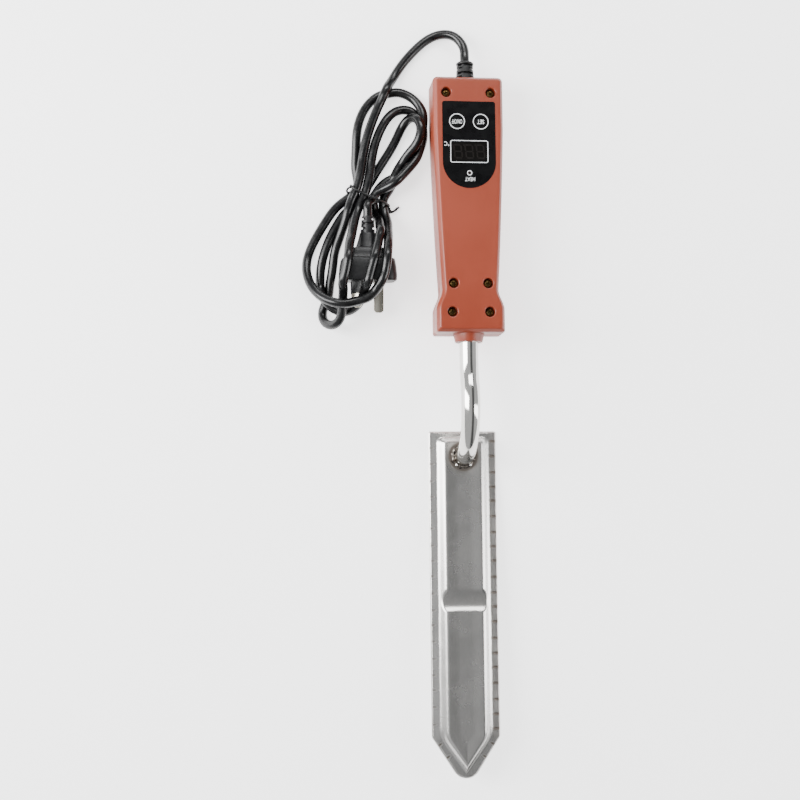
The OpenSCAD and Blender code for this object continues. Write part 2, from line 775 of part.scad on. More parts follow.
module sleeved_blade() {
    block([-pin_t / 2, -pin_l, -pin_w / 2], [pin_t / 2, -sleeve_l, pin_w / 2]);
    block([-pin_t / 2 + 0.3, -sleeve_l - eps, -pin_w / 2 + 0.3], [pin_t / 2 - 0.3, 0, pin_w / 2 - 0.3]);
}

module plug_pin_live() color("silver") at_pins() live_place(-1) sleeved_blade();

module plug_pin_neutral() color("silver") at_pins() live_place(1) sleeved_blade();

module plug_pin_earth() color("silver") at_pins() translate([0, 0, earth_pin_z]) pin_blade(earth_pin_l);

module plug_pin_sleeves() color("dimgray") at_pins() for (side = [-1, 1]) live_place(side) difference() {
    block([-pin_t / 2, -sleeve_l, -pin_w / 2], [pin_t / 2, 0, pin_w / 2]);
    block([-pin_t / 2 + 0.3, -sleeve_l - 1, -pin_w / 2 + 0.3], [pin_t / 2 - 0.3, 1, pin_w / 2 - 0.3]);
}

blade_plate();
channel_cover();
mica_lower();
heating_ribbon();
mica_upper();
heater_eyelets();
insulation_front();
insulation_rear();
temperature_sensor();
neck_tube();
neck_weld();
heater_lead_live();
heater_lead_neutral();
sensor_lead();
tube_anchor_plate();
earth_clip();
front_shell();
back_shell();
shell_screws();
panel_overlay();
on_off_key();
set_key();
on_off_plunger();
set_plunger();
tact_switches();
display_lens();
display_module();
heat_lamp();
display_board();
display_board_screws();
power_board();
power_board_screws();
board_link();
heater_terminal();
mains_terminal();
triac();
heat_sink();
film_capacitor();
electrolytic_capacitor();
fuse();
strain_relief();
cord_jacket_inside();
mains_core_live();
mains_core_neutral();
mains_core_earth();
cord_clamp_bar();
cord_clamp_screws();
cord();
cord_hank();
cord_tie();
plug_body();
plug_tail();
plug_pin_live();
plug_pin_neutral();
plug_pin_earth();
plug_pin_sleeves();
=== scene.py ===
"""The visual model of the electric uncapping knife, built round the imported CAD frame."""

import json
import math
import bmesh
import bpy
import numpy as np
from mathutils import Matrix, Vector


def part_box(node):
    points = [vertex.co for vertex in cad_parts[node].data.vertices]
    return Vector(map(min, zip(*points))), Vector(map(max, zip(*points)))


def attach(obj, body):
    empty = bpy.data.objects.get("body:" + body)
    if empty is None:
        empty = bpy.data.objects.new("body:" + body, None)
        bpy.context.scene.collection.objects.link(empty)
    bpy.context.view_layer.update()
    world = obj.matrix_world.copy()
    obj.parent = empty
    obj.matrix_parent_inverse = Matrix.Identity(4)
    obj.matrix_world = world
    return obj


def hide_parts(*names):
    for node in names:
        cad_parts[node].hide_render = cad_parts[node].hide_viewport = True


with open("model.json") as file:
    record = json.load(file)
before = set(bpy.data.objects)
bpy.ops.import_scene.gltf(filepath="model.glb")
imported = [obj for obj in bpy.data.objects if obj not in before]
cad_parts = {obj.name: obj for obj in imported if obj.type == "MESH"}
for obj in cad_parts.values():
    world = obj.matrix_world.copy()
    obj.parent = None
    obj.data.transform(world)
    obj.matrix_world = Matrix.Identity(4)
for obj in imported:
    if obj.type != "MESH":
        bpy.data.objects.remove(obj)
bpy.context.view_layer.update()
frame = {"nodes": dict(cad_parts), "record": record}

MM = 0.001
scene = bpy.context.scene

# ---- Frames in mm: K is the knife's (blade heel at y 0, underside at z 0), H the handle's, W the table's

mounts = {m["name"]: m for m in frame["record"]["mounts"]}
axis = mounts["blade_underside"]["axis"]
TILT = math.atan2(-axis[1], -axis[2])
ST, CT = math.sin(TILT), math.cos(TILT)
PLATE_T, HALF_T = 0.8, 14.0
CENTRE_Y = PLATE_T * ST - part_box("blade_plate")[1][1] / MM
# the mount on the handle's back is this far up the handle
BACK_MOUNT_S = 80
back = [c / MM for c in mounts["handle_back"]["pos_m"]]
HANDLE_Y = (back[1] + CENTRE_Y) * CT - back[2] * ST - BACK_MOUNT_S
AXIS_Z = (back[1] + CENTRE_Y) * ST + back[2] * CT + HALF_T


def W(p):
    """Table millimetres to metres."""
    return np.asarray(p, float) * MM


def K(p):
    """Knife millimetres to table metres."""
    p = np.asarray(p, float)
    y, z = p[..., 1], p[..., 2]
    return np.stack([p[..., 0], y * CT + z * ST - CENTRE_Y, z * CT - y * ST], -1) * MM


def H(p):
    """Handle millimetres, along its axis from the blade's end, to table metres."""
    return K(np.asarray(p, float) + np.array([0, HANDLE_Y, AXIS_Z]))


# ---- Materials


class Nodes:
    """A small helper to write a node tree in a few lines, in a new material or in the world given."""

    def __init__(self, name, world=None):
        self.owner = world or bpy.data.materials.new(name)
        self.owner.use_nodes = True
        self.tree = self.owner.node_tree
        self.where = self.add("ShaderNodeTexCoord").outputs
        self.coord = self.where["Object"]

    def add(self, kind, inputs={}, **values):
        """A node, with its settings, and its inputs set or linked by name or number."""
        node = self.tree.nodes.new(kind)
        for key, value in values.items():
            setattr(node, key, value)
        for key, value in inputs.items():
            self.put(node.inputs[key], value)
        return node

    def put(self, socket, value):
        if hasattr(value, "is_output"):
            self.tree.links.new(value, socket)
        else:
            socket.default_value = value

    def stretched(self, scale):
        return self.add("ShaderNodeMapping", dict(Vector=self.coord, Scale=scale)).outputs[0]

    def noise(self, scale, detail=4.0, rough=0.55, vector=None, distortion=0.0):
        inputs = dict(Scale=scale, Detail=detail, Roughness=rough, Distortion=distortion)
        return self.add("ShaderNodeTexNoise", dict(inputs, Vector=vector or self.coord)).outputs["Fac"]

    def bands(self, **inputs):
        kind = dict(wave_type="BANDS", bands_direction="DIAGONAL")
        return self.add("ShaderNodeTexWave", dict(inputs, Vector=self.coord), **kind).outputs["Fac"]

    def ramp(self, value, low, high, to_low=0.0, to_high=1.0):
        inputs = dict(enumerate((value, low, high, to_low, to_high)))
        return self.add("ShaderNodeMapRange", inputs, interpolation_type="SMOOTHSTEP").outputs[0]

    def patches(self, scale, detail=4.0, to_low=0.0, to_high=1.0):
        """Soft patches between two values."""
        return self.ramp(self.noise(scale, detail), 0.3, 0.7, to_low, to_high)

    def mix(self, factor, a, b):
        return self.add("ShaderNodeMix", {0: factor, 6: a, 7: b}, data_type="RGBA").outputs[2]

    def math(self, op, *values):
        return self.add("ShaderNodeMath", dict(enumerate(values)), operation=op).outputs[0]

    def attribute(self, name):
        return self.add("ShaderNodeAttribute", attribute_name=name).outputs["Fac"]

    def finish(self, colour, rough, height=None, strength=0.2, distance=0.0002, **fixed):
        """Colour, roughness and a relief of height, then whatever is the same all over the surface."""
        inputs = next(n for n in self.tree.nodes if n.type == "BSDF_PRINCIPLED").inputs
        self.put(inputs["Base Color"], colour)
        self.put(inputs["Roughness"], rough)
        if height is not None:
            relief = dict(Strength=strength, Distance=distance, Height=height)
            self.put(inputs["Normal"], self.add("ShaderNodeBump", relief).outputs[0])
        for key, value in fixed.items():
            inputs[key.replace("_", " ")].default_value = value
        return self.owner


def hexed(text):
    """An sRGB colour such as b0614b as linear light."""
    parts = [int(text[i : i + 2], 16) / 255 for i in (0, 2, 4)]
    return tuple(c / 12.92 if c < 0.04045 else ((c + 0.055) / 1.055) ** 2.4 for c in parts) + (1.0,)


def shade(colour, by):
    return tuple(min(1.0, c * by) for c in colour[:3]) + (1.0,)


def surface(name, colour, rough, metal, spread, patch, grain, strength, stretch=None, specular=0.5):
    """A mottled finish: patches of tone, uneven gloss and a fine grain in relief."""
    n = Nodes(name)
    base = hexed(colour)
    vector = n.stretched(stretch) if stretch else n.coord
    tone = n.ramp(n.noise(patch, 5.0, 0.6, vector), 0.3, 0.7)
    fine = n.noise(grain, 3.0, 0.6, vector)
    mixed = n.mix(tone, shade(base, 1 - spread), shade(base, 1 + spread))
    mixed = n.mix(n.ramp(fine, 0.35, 0.65, 0.0, 0.25), mixed, shade(base, 1 - 1.5 * spread))
    worn, polished = min(1.0, rough * 1.18), max(0.03, rough * 0.82)
    gloss = n.ramp(n.noise(patch * 2.3, 4.0, 0.6, vector), 0.3, 0.7, polished, worn)
    return n.finish(mixed, gloss, fine, strength, 0.0001, Metallic=metal, Specular_IOR_Level=specular)


# colour, roughness, metal, spread of tone, patch and grain frequency, relief, stretch, specular level
FINISHES = {
    "relief_rubber": ("09090a", 0.46, 0, 0.2, 400, 2500, 0.12, None, 0.4),
    "plug_pvc": ("0c0c0e", 0.42, 0, 0.2, 250, 2200, 0.22, None, 0.4),
    "tie_black": ("070708", 0.4, 0, 0.2, 500, 2600, 0.12, None, 0.4),
    "pin_metal": ("b9b4a8", 0.24, 1, 0.12, 300, 2400, 0.05, (1, 0.15, 1)),
    "sleeve_plastic": ("0d0e10", 0.45, 0, 0.15, 400, 2500, 0.1, None, 0.4),
    "weld_bright": ("e8e6e2", 0.15, 1, 0.08, 900, 3000, 0.05),
    "smoked_lens": ("1c0b0a", 0.14, 0, 0.2, 900, 2400, 0.03, None, 0.4),
    "mica": ("a58b5e", 0.35, 0, 0.25, 900, 2400, 0.3),
    "resistance_alloy": ("6f6a64", 0.4, 1, 0.2, 500, 2500, 0.1, (1, 0.2, 1)),
    "brass_fitting": ("c9a659", 0.3, 1, 0.15, 600, 2500, 0.1),
    "ceramic_fibre": ("e6e1d4", 0.9, 0, 0.12, 500, 1300, 0.8, (1, 0.3, 1)),
    "sensor_resin": ("b9762c", 0.3, 0, 0.2, 600, 2400, 0.15),
    "red_insulation": ("a52a22", 0.42, 0, 0.12, 400, 2000, 0.1),
    "white_insulation": ("dcdad2", 0.45, 0, 0.08, 400, 2000, 0.1),
    "pale_insulation": ("cbbd8a", 0.45, 0, 0.12, 400, 2000, 0.1),
    "plated_steel": ("bcbec0", 0.28, 1, 0.12, 350, 2400, 0.08, (1, 0.3, 1)),
    "grey_plastic": ("5f6266", 0.5, 0, 0.1, 300, 2200, 0.15),
    "red_lens": ("5d1714", 0.16, 0, 0.25, 700, 2400, 0.05),
    "black_plastic": ("1a1a1c", 0.48, 0, 0.2, 300, 2200, 0.15),
    "terminal_green": ("2f7d4c", 0.45, 0, 0.12, 300, 2200, 0.12),
    "aluminium_sink": ("b7babd", 0.36, 1, 0.12, 300, 2400, 0.12, (0.2, 1, 1)),
    "capacitor_yellow": ("c79c2c", 0.4, 0, 0.12, 300, 2200, 0.1),
    "capacitor_blue": ("1c2f5c", 0.32, 0, 0.12, 300, 2200, 0.06),
    "fuse_glass": ("cfe0de", 0.12, 0, 0.1, 500, 2400, 0.03),
    "brown_insulation": ("5c3420", 0.42, 0, 0.12, 400, 2000, 0.1),
    "blue_insulation": ("23458c", 0.42, 0, 0.12, 400, 2000, 0.1),
}
finishes = {name: surface(name, *row) for name, row in FINISHES.items()}


def cord_pvc():
    """Glossy black jacket, lightly dulled by handling."""
    n = Nodes("cord_pvc")
    grain = n.ramp(n.noise(900, 2.0, 0.5), 0.35, 0.65)
    tone = n.mix(n.patches(60), hexed("040405"), hexed("0a0a0b"))
    return n.finish(tone, n.patches(220, 5.0, 0.2, 0.32), grain, 0.04, 0.0001, Specular_IOR_Level=0.42)


def steel(name, colour, rough, grain=1.0):
    """Rolled steel: grain along the blade, cloudy gloss, and heat tint with painted shade where the vertex
    attribute says.
    """
    n = Nodes(name)
    brushed = n.noise(2600, 3.0, 0.6, n.stretched((1, 0.04, 1)))
    cloud = n.noise(38, 5.0, 0.62)
    scuff = n.noise(700, 6.0, 0.7, n.stretched((0.3, 1, 1)), 0.4)
    tint_and_shade = n.attribute("tint_and_shade")
    base = hexed(colour)
    tone = n.mix(n.ramp(cloud, 0.32, 0.68), shade(base, 0.95), shade(base, 1.04))
    tone = n.mix(n.ramp(brushed, 0.3, 0.7, 0, 0.3), tone, shade(base, 0.74))
    tone = n.mix(n.ramp(scuff, 0.6, 0.78, 0, 0.16), tone, shade(base, 1.3))
    # the attribute darkens the steel: heat tint, and painted shade along the right flange
    tone = n.mix(n.ramp(tint_and_shade, 0.05, 1.0, 0, 0.85), tone, hexed("544a41"))
    gloss = n.ramp(cloud, 0.25, 0.75, rough * 0.92, rough * 1.1)
    gloss = n.math("ADD", gloss, n.ramp(tint_and_shade, 0.0, 1.0, 0, 0.2))
    height = n.math("ADD", brushed, n.math("MULTIPLY", scuff, 0.5))
    return n.finish(tone, gloss, height, 0.05 * grain, 0.0001, Metallic=1.0)


def weld_metal():
    """Burnt steel with browned patches."""
    n = Nodes("weld_metal")
    burn = n.noise(420, 5.0, 0.65, None, 0.5)
    tone = n.mix(n.ramp(burn, 0.35, 0.6), hexed("2a2624"), hexed("77716a"))
    tone = n.mix(n.ramp(n.noise(160, 3.0), 0.5, 0.72, 0, 0.8), tone, hexed("5a4634"))
    return n.finish(tone, n.ramp(burn, 0.3, 0.7, 0.5, 0.25), burn, 0.5, 0.0004, Metallic=0.85)


def shell_plastic():
    """Moulded plastic: a satin sparked skin, slightly uneven in tone, with flow marks and scuffs."""
    n = Nodes("shell_plastic")
    base = hexed("7e3019")
    cloud = n.noise(28, 4.0, 0.6, n.stretched((1, 0.45, 1)))
    fine = n.noise(2600, 2.0, 0.5)
    speck = n.noise(420, 5.0, 0.75)
    tone = n.mix(n.ramp(cloud, 0.3, 0.7), shade(base, 0.93), shade(base, 1.07))
    tone = n.mix(n.ramp(speck, 0.66, 0.8, 0, 0.35), tone, shade(base, 1.28))
    tone = n.mix(n.ramp(speck, 0.2, 0.34, 0.3, 0), tone, shade(base, 0.78))
    height = n.math("ADD", fine, n.math("MULTIPLY", n.noise(90, 3.0), 0.8))
    gloss = n.ramp(cloud, 0.3, 0.7, 0.36, 0.46)
    return n.finish(tone, gloss, height, 0.09)


def screw_brass():
    """Dull brass, its tones painted dim for the shade of the counterbores, with random patches painted in
    that shade's dark colour.
    """
    n = Nodes("screw_brass")
    worn = n.noise(700, 5.0, 0.7)
    # painted shade: both brass tones are dimmed, and the patches below take the shaded counterbores' dark
    # colour
    tone = n.mix(n.ramp(worn, 0.35, 0.65), hexed("42321a"), hexed("75603a"))
    tone = n.mix(n.ramp(n.noise(260, 4.0), 0.5, 0.68, 0, 0.8), tone, hexed("2a1f12"))
    return n.finish(tone, n.ramp(worn, 0.3, 0.7, 0.4, 0.22), worn, 0.25, Metallic=1.0)


def ink_white():
    """Screen-printed ink, thin in places."""
    n = Nodes("ink_white")
    tone = n.mix(n.ramp(n.noise(1800, 3.0, 0.7), 0.3, 0.62), hexed("b9bbbd"), hexed("e6e8ea"))
    return n.finish(tone, 0.55, n.noise(2500), 0.1)


def segment_ghost():
    """Unlit display segments, barely lighter than the window over them."""
    n = Nodes("segment_ghost")
    tone = n.mix(n.patches(1500), hexed("141211"), hexed("191716"))
    return n.finish(tone, 0.24, n.noise(2500), 0.05, Specular_IOR_Level=0.12)


def panel_film():
    """Black polyester film with a few pale specks."""
    n = Nodes("panel_film")
    tone = n.mix(n.patches(90, 5.0), hexed("030304"), hexed("070708"))
    tone = n.mix(n.ramp(n.noise(1600, 4.0, 0.75), 0.72, 0.8, 0, 0.35), tone, hexed("1c1d20"))
    gloss = n.patches(160, 5.0, 0.24, 0.36)
    return n.finish(tone, gloss, n.noise(1900, 2.0), 0.04, 0.0001, Specular_IOR_Level=0.14)


def window_film():
    """The smoked, glossier film over the display."""
    n = Nodes("window_film")
    tone = n.mix(n.patches(120), hexed("090807"), hexed("0d0c0b"))
    gloss = n.patches(200, 4.0, 0.12, 0.2)
    return n.finish(tone, gloss, n.noise(1500, 2.0), 0.03, 0.0001, Specular_IOR_Level=0.16)


def circuit_board():
    """Green soldermask over faint copper tracks and pads."""
    n = Nodes("circuit_board")
    green = hexed("1d5a35")
    lines = n.ramp(n.bands(Scale=260, Distortion=4.0, Detail=1.0), 0.72, 0.8)
    dots = n.add("ShaderNodeTexVoronoi", dict(Vector=n.coord, Scale=330)).outputs["Distance"]
    pads = n.ramp(dots, 0.2, 0.26, 1.0, 0.0)
    tone = n.mix(n.patches(200), shade(green, 0.85), shade(green, 1.15))
    tone = n.mix(n.math("MULTIPLY", lines, 0.6), tone, hexed("3f8a55"))
    tone = n.mix(n.math("MULTIPLY", pads, 0.8), tone, hexed("c9c5b8"))
    return n.finish(tone, 0.38, n.math("ADD", lines, pads), 0.25)


def earth_insulation():
    """The earth core's green and yellow stripes."""
    n = Nodes("green_yellow")
    tone = n.mix(n.ramp(n.bands(Scale=90), 0.45, 0.55), hexed("3d8a3a"), hexed("d9c52c"))
    return n.finish(tone, 0.42, n.noise(1800), 0.08)


finishes.update(
    cord_pvc=cord_pvc(),
    blade_steel=steel("blade_steel", "c2c0bd", 0.26),
    tube_steel=steel("tube_steel", "d2d0cc", 0.11, 0.6),
    weld_metal=weld_metal(),
    shell_plastic=shell_plastic(),
    screw_brass=screw_brass(),
    ink_white=ink_white(),
    segment_ghost=segment_ghost(),
    panel_black=panel_film(),
    window=window_film(),
    circuit_board=circuit_board(),
    green_yellow_insulation=earth_insulation(),
)

# ---- Mesh building


def placed(name, data):
    ob = bpy.data.objects.new(name, data)
    scene.collection.objects.link(ob)
    return ob


def recalc(me):
    """Merge doubled points, drop slivers and turn all faces outwards."""
    bm = bmesh.new()
    bm.from_mesh(me)
    bmesh.ops.remove_doubles(bm, verts=bm.verts, dist=2e-7)
    bmesh.ops.dissolve_degenerate(bm, edges=bm.edges, dist=1e-7)
    bmesh.ops.recalc_face_normals(bm, faces=bm.faces)
    bm.to_mesh(me)
    bm.free()


def new_object(name, verts, faces, tint_and_shade=None):
    """A mesh object; the optional last argument gives each vertex's share of heat tint and painted shade."""
    me = bpy.data.meshes.new(name)
    me.from_pydata([tuple(v) for v in verts], [], faces)
    if tint_and_shade is not None:
        me.attributes.new("tint_and_shade", "FLOAT", "POINT").data.foreach_set("value", tint_and_shade)
    recalc(me)
    return placed(name, me)


def dress(ob, slot, replaces=(), finish=None, body="knife", sharp=35):
    """Give a piece the finish of its slot, or the one named instead, its body, and hide the CAD nodes that it
    stands for.
    """
    ob.data.materials.append(finishes[finish or slot])
    ob.data.shade_smooth()
    ob.data.set_sharp_from_angle(angle=math.radians(sharp))
    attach(ob, body)
    if replaces:
        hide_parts(*replaces)
    return ob


def around(sides):
    return np.arange(sides) * 2 * math.pi / sides


class Solid:
    """Vertices and faces gathered from rings; place turns the rings' millimetres into table metres."""

    def __init__(self):
        self.verts, self.faces = [], []

    def skin(self, rings, place, capped=True, loop=False):
        """Join closed rings of equal length; loop joins the last ring to the first instead of capping."""
        rings = [np.asarray(r, float) for r in rings]
        n, first = len(rings[0]), len(self.verts)
        last = first + (len(rings) - 1) * n
        for ring in rings:
            self.verts.extend(place(ring))
        for a in range(first, last, n):
            self.band(a, a + n, n)
        if loop:
            self.band(last, first, n)
        elif capped:
            self.faces.append([first + k for k in range(n)][::-1])
            self.faces.append([last + k for k in range(n)])
        return self

    def band(self, a, b, n):
        """Faces between the ring of n vertices from a and the one from b."""
        self.faces.extend([(a + k, a + (k + 1) % n, b + (k + 1) % n, b + k) for k in range(n)])

    def lathe(self, profile, at, place, along=(0, 0, 1), sides=48, loop=False):
        """Turn (radius, height) pairs about the line from at, in the direction along."""
        w = Vector(along).normalized()
        u = w.orthogonal().normalized()
        v = w.cross(u)
        u, v, w = (np.array(c) for c in (u, v, w))
        turn = around(sides)
        circle = np.outer(np.cos(turn), u) + np.outer(np.sin(turn), v)
        return self.skin([np.asarray(at) + circle * r + w * h for r, h in profile], place, loop=loop)

    def tube(self, path, radius, place, sides=16, capped=True):
        """Sweep a circle along a path; radius is one number or one for each point."""
        p = np.asarray(path, float)
        r = np.broadcast_to(np.asarray(radius, float), (len(p),))
        t = np.gradient(p, axis=0)
        t /= np.linalg.norm(t, axis=1)[:, None]
        side = np.array(Vector(t[0]).orthogonal().normalized())
        turn = around(sides)
        rings = []
        for point, tangent, size in zip(p, t, r):
            side = side - tangent * side.dot(tangent)
            side /= np.linalg.norm(side)
            other = np.cross(tangent, side)
            rings.append(point + size * (np.outer(np.cos(turn), side) + np.outer(np.sin(turn), other)))
        return self.skin(rings, place, capped)

    def build(self, name):
        return new_object(name, self.verts, self.faces)


def baked(ob):
    """The mesh that an object comes out as."""
    graph = bpy.context.evaluated_depsgraph_get()
    graph.update()
    return bpy.data.meshes.new_from_object(ob.evaluated_get(graph))


def cut(ob, *tools, how="DIFFERENCE"):
    """Cut ob by closed meshes, or join them to it, and bake the result in."""
    for tool in tools:
        mod = ob.modifiers.new("cut", "BOOLEAN")
        mod.operation, mod.solver, mod.object = how, "EXACT", tool
        me = baked(ob)
        ob.modifiers.remove(mod)
        old, ob.data = ob.data, me
        bpy.data.meshes.remove(old)
        bpy.data.objects.remove(tool, do_unlink=True)
    recalc(ob.data)
    return ob


def arc(cx, cy, r, angles):
    """Points on a circle, at angles in degrees."""
    return [(cx + r * math.cos(math.radians(a)), cy + r * math.sin(math.radians(a))) for a in angles]


def rounded(w, h, r, steps=5):
    """A rounded rectangle's outline as x, z pairs."""
    r = min(r, w / 2 - 0.01, h / 2 - 0.01)
    out = []
    for k, (sx, sz) in enumerate(((1, 1), (-1, 1), (-1, -1), (1, -1))):
        angles = [90 * k + 90 * i / steps for i in range(steps + 1)]
        out += arc(sx * (w / 2 - r), sz * (h / 2 - r), r, angles)
    return out


def hoop(radius, turn, along):
    """A ring about the y axis; radius is one number or one for each angle."""
    return np.stack([radius * np.cos(turn), np.full(len(turn), along), radius * np.sin(turn)], -1)


def smooth_min(a, b, k):
    h = np.clip(0.5 + 0.5 * (b - a) / k, 0, 1)
    return b * (1 - h) + a * h - k * h * (1 - h)


def smooth_step(t):
    t = np.clip(t, 0, 1)
    return t * t * (3 - 2 * t)


def run_lengths(p):
    """How far along its path each point lies."""
    return np.concatenate([[0], np.cumsum(np.linalg.norm(np.diff(p, axis=0), axis=1))])


def spline(points, step):
    """A natural cubic through the points, resampled evenly."""
    p = np.asarray(points, float)
    n, h = len(p), np.diff(run_lengths(p))
    a, b = np.zeros((n, n)), np.zeros((n, 3))
    a[0, 0] = a[-1, -1] = 1
    for i in range(1, n - 1):
        a[i, i - 1 : i + 2] = h[i - 1], 2 * (h[i - 1] + h[i]), h[i]
        b[i] = 6 * ((p[i + 1] - p[i]) / h[i] - (p[i] - p[i - 1]) / h[i - 1])
    m = np.linalg.solve(a, b)
    out = []
    for k in range(n - 1):
        for s in np.linspace(0, 1, 10, endpoint=False):
            r = 1 - s
            bend = h[k] ** 2 / 6 * ((r**3 - r) * m[k] + (s**3 - s) * m[k + 1])
            out.append(r * p[k] + s * p[k + 1] + bend)
    out = np.array(out + [p[-1]])
    run = run_lengths(out)
    at = np.linspace(0, run[-1], int(round(run[-1] / step)) + 1)
    return np.stack([np.interp(at, run, out[:, i]) for i in range(3)], 1)

# ---- Camera, light and floor, in metres

CAMERA_AT, LOOK_AT = (-0.145, 0.012, 0.98), (-0.042, 0.012, 0.012)
SENSOR, LENS = 36, 68
FLOOR_HALF, FLOOR_GLOW = 2.4, 1.7
SKY_COLOUR = (0.97, 0.985, 1.0, 1)
# where the sky's dark band lies, where its fade starts and ends, and the sky's strength in it and outside it
BAND_X, BAND_FADE, BAND_STRENGTH = 0.34, (0.07, 0.36), (0.11, 0.74)


def aim_camera():
    """Look at the middle of the knife and its cord, with the blade's direction straight down the picture."""
    cam = placed("camera", bpy.data.cameras.new("camera"))
    cam.location = CAMERA_AT
    look = (cam.location - Vector(LOOK_AT)).normalized()
    right = Vector((0, 1, 0)).cross(look).normalized()
    cam.rotation_euler = Matrix((right, look.cross(right), look)).transposed().to_euler()
    cam.data.sensor_width = SENSOR
    cam.data.lens = LENS
    scene.camera = cam


def lay_floor():
    corners = [(x * FLOOR_HALF, y * FLOOR_HALF, 0) for x, y in ((-1, -1), (1, -1), (1, 1), (-1, 1))]
    floor = new_object("floor", corners, [(0, 1, 2, 3)])
    n = Nodes("floor")
    tone = n.mix(n.patches(2.0), (0.93, 0.93, 0.93, 1), (0.96, 0.96, 0.96, 1))
    finish = n.finish(tone, 0.8, Emission_Color=(1, 1, 1, 1), Emission_Strength=FLOOR_GLOW)
    floor.data.materials.append(finish)


def light_sky():
    """A bright studio with one dark band a little right of overhead, which steel needs to show its shape."""
    scene.world = scene.world or bpy.data.worlds.new("world")
    n = Nodes("sky", scene.world)
    across = n.add("ShaderNodeSeparateXYZ", {0: n.where["Generated"]}).outputs["X"]
    away = n.math("ABSOLUTE", n.math("SUBTRACT", across, BAND_X))
    sky = n.tree.nodes["Background"].inputs
    n.put(sky["Strength"], n.ramp(away, *BAND_FADE, *BAND_STRENGTH))
    sky["Color"].default_value = SKY_COLOUR


def lamp(name, at, target, width, length, power):
    data = bpy.data.lights.new(name, "AREA")
    data.shape, data.size, data.size_y, data.energy = "RECTANGLE", width, length, power
    ob = placed(name, data)
    ob.location = at
    ob.rotation_euler = (Vector(target) - Vector(at)).to_track_quat("-Z", "Y").to_euler()


aim_camera()
lay_floor()
light_sky()
lamp("key", (-0.95, 0.2, 0.6), (-0.03, 0.02, 0), 0.5, 1.1, 30)
lamp("fill", (0.9, -0.1, 0.5), (0, 0, 0), 0.3, 1.0, 8)
lamp("top", (0.05, 0.95, 0.75), (-0.03, 0, 0), 0.9, 0.3, 9)

# ---- The cord: one length from the strain relief through the hank to the plug, laid out and then settled

CORD_R = 3.0
HANDLE_L, RELIEF_L = 164.5, 12.7
EXIT = H([0, HANDLE_L + RELIEF_L, 0])
OUT = np.array([0, CT, -ST])
# the cord stays left of the handle's side between these two places along the table
HANDLE_SIDE, HANDLE_FROM, HANDLE_TO = -25.6, 60.0, 216.0
TIE_AT, TIE_TURN = np.array([-62.0, 143.0, 0.0]), math.radians(20)
ACROSS = np.array([math.cos(TIE_TURN), -math.sin(TIE_TURN), 0])
ALONG = np.array([math.sin(TIE_TURN), math.cos(TIE_TURN), 0])
PLUG_AT = np.array([-63.0, 88.0, 13.5])
# half width, half height, corner radius, and where each step of the plug starts and ends
PLUG_STEPS = ((18.25, 13.5, 6, 0, 14.5), (14.25, 10, 5, 14.5, 21))
PLUG_STEPS += ((7.6, 7.6, 7.5, 21, 31), (4.6, 4.6, 4.5, 31, 40))


def waist(across, z, along=0.0):
    """A point near the tie, measured across and along the hank."""
    return TIE_AT + ACROSS * across + ALONG * along + [0, 0, z]


lead = [EXIT / MM + OUT * 5 * k for k in range(3)]
lead += [
    [-1, 242, 10.9], [-5, 247.4, 9], [-12, 250, 6.4], [-20, 248.3, 4.4], [-28.5, 242.3, 3.3],
    [-36.5, 234, 3.3], [-43.5, 224.5, 4.6], [-49, 214.8, 7.4], [-53.8, 205.5, 9], [-58.5, 194.5, 9.2],
    [-62.5, 183, 9.2], [-65.3, 171, 9.2], [-67, 159, 9.1],
]
low_first = [
    waist(-9.2, 9.15, 4), waist(-9.2, 9.15, -4), [-77.2, 128, 9], [-81.2, 116, 7], [-84, 105, 3.8],
    [-85.3, 94, 3], [-87.6, 84, 3], [-90, 74.5, 3], [-91.6, 67, 4.8], [-88.4, 60.6, 10.6],
    [-82.2, 61.6, 17.2], [-79.8, 70.5, 20.6], [-79.3, 81, 24.6], [-78.2, 90, 29.4], [-76.9, 99, 29.8],
    [-75.2, 109, 26.4], [-73.4, 119, 20], [-71.2, 128, 14.6], [-68.8, 136, 10.6],
]
high_first = [
    waist(-3.1, 9.15, -2.5), waist(-3.1, 9.15, 5), [-61.5, 158, 8.8], [-59.8, 169, 8.6], [-56.5, 181, 8.4],
    [-51.5, 191.5, 8.2], [-45, 198.6, 6], [-37.5, 200.6, 3.6], [-30.4, 197.6, 3], [-26.6, 190.5, 3],
    [-26.3, 181, 3], [-29.4, 172, 3], [-35.6, 163.6, 3], [-43.6, 156.6, 3], [-51.2, 151, 3],
    [-56.6, 146, 3],
]
low_second = [
    [-58.6, 140.6, 3.2], [-57.6, 135.6, 5.2], [-56.2, 129.5, 10.8], [-55.6, 122, 18.4],
    [-57.2, 112.5, 26.2], [-59.8, 103, 30.3], [-62.6, 93, 30.2], [-65.6, 81, 25.2], [-69.5, 73.2, 18.8],
    [-75.5, 69, 13.6], [-82, 69.2, 10.6], [-88, 73.6, 9.6], [-91.8, 81.5, 6], [-93, 90, 3.5], [-92, 100, 3],
    [-88, 113, 3], [-81, 126, 3], [-72.5, 137, 3],
]
high_second = [
    waist(-3.1, 3, -1), waist(-3.1, 3, 6), [-57.8, 158, 3], [-52.2, 166.5, 3], [-47.2, 174.5, 3],
    [-43, 182.5, 3.3], [-39.2, 190.2, 5.2], [-34, 194.6, 10.6], [-29.5, 190.5, 16.4], [-30, 180.6, 18],
    [-36, 170.6, 13.4], [-42.3, 162, 9.4], [-46.6, 153.4, 9],
]
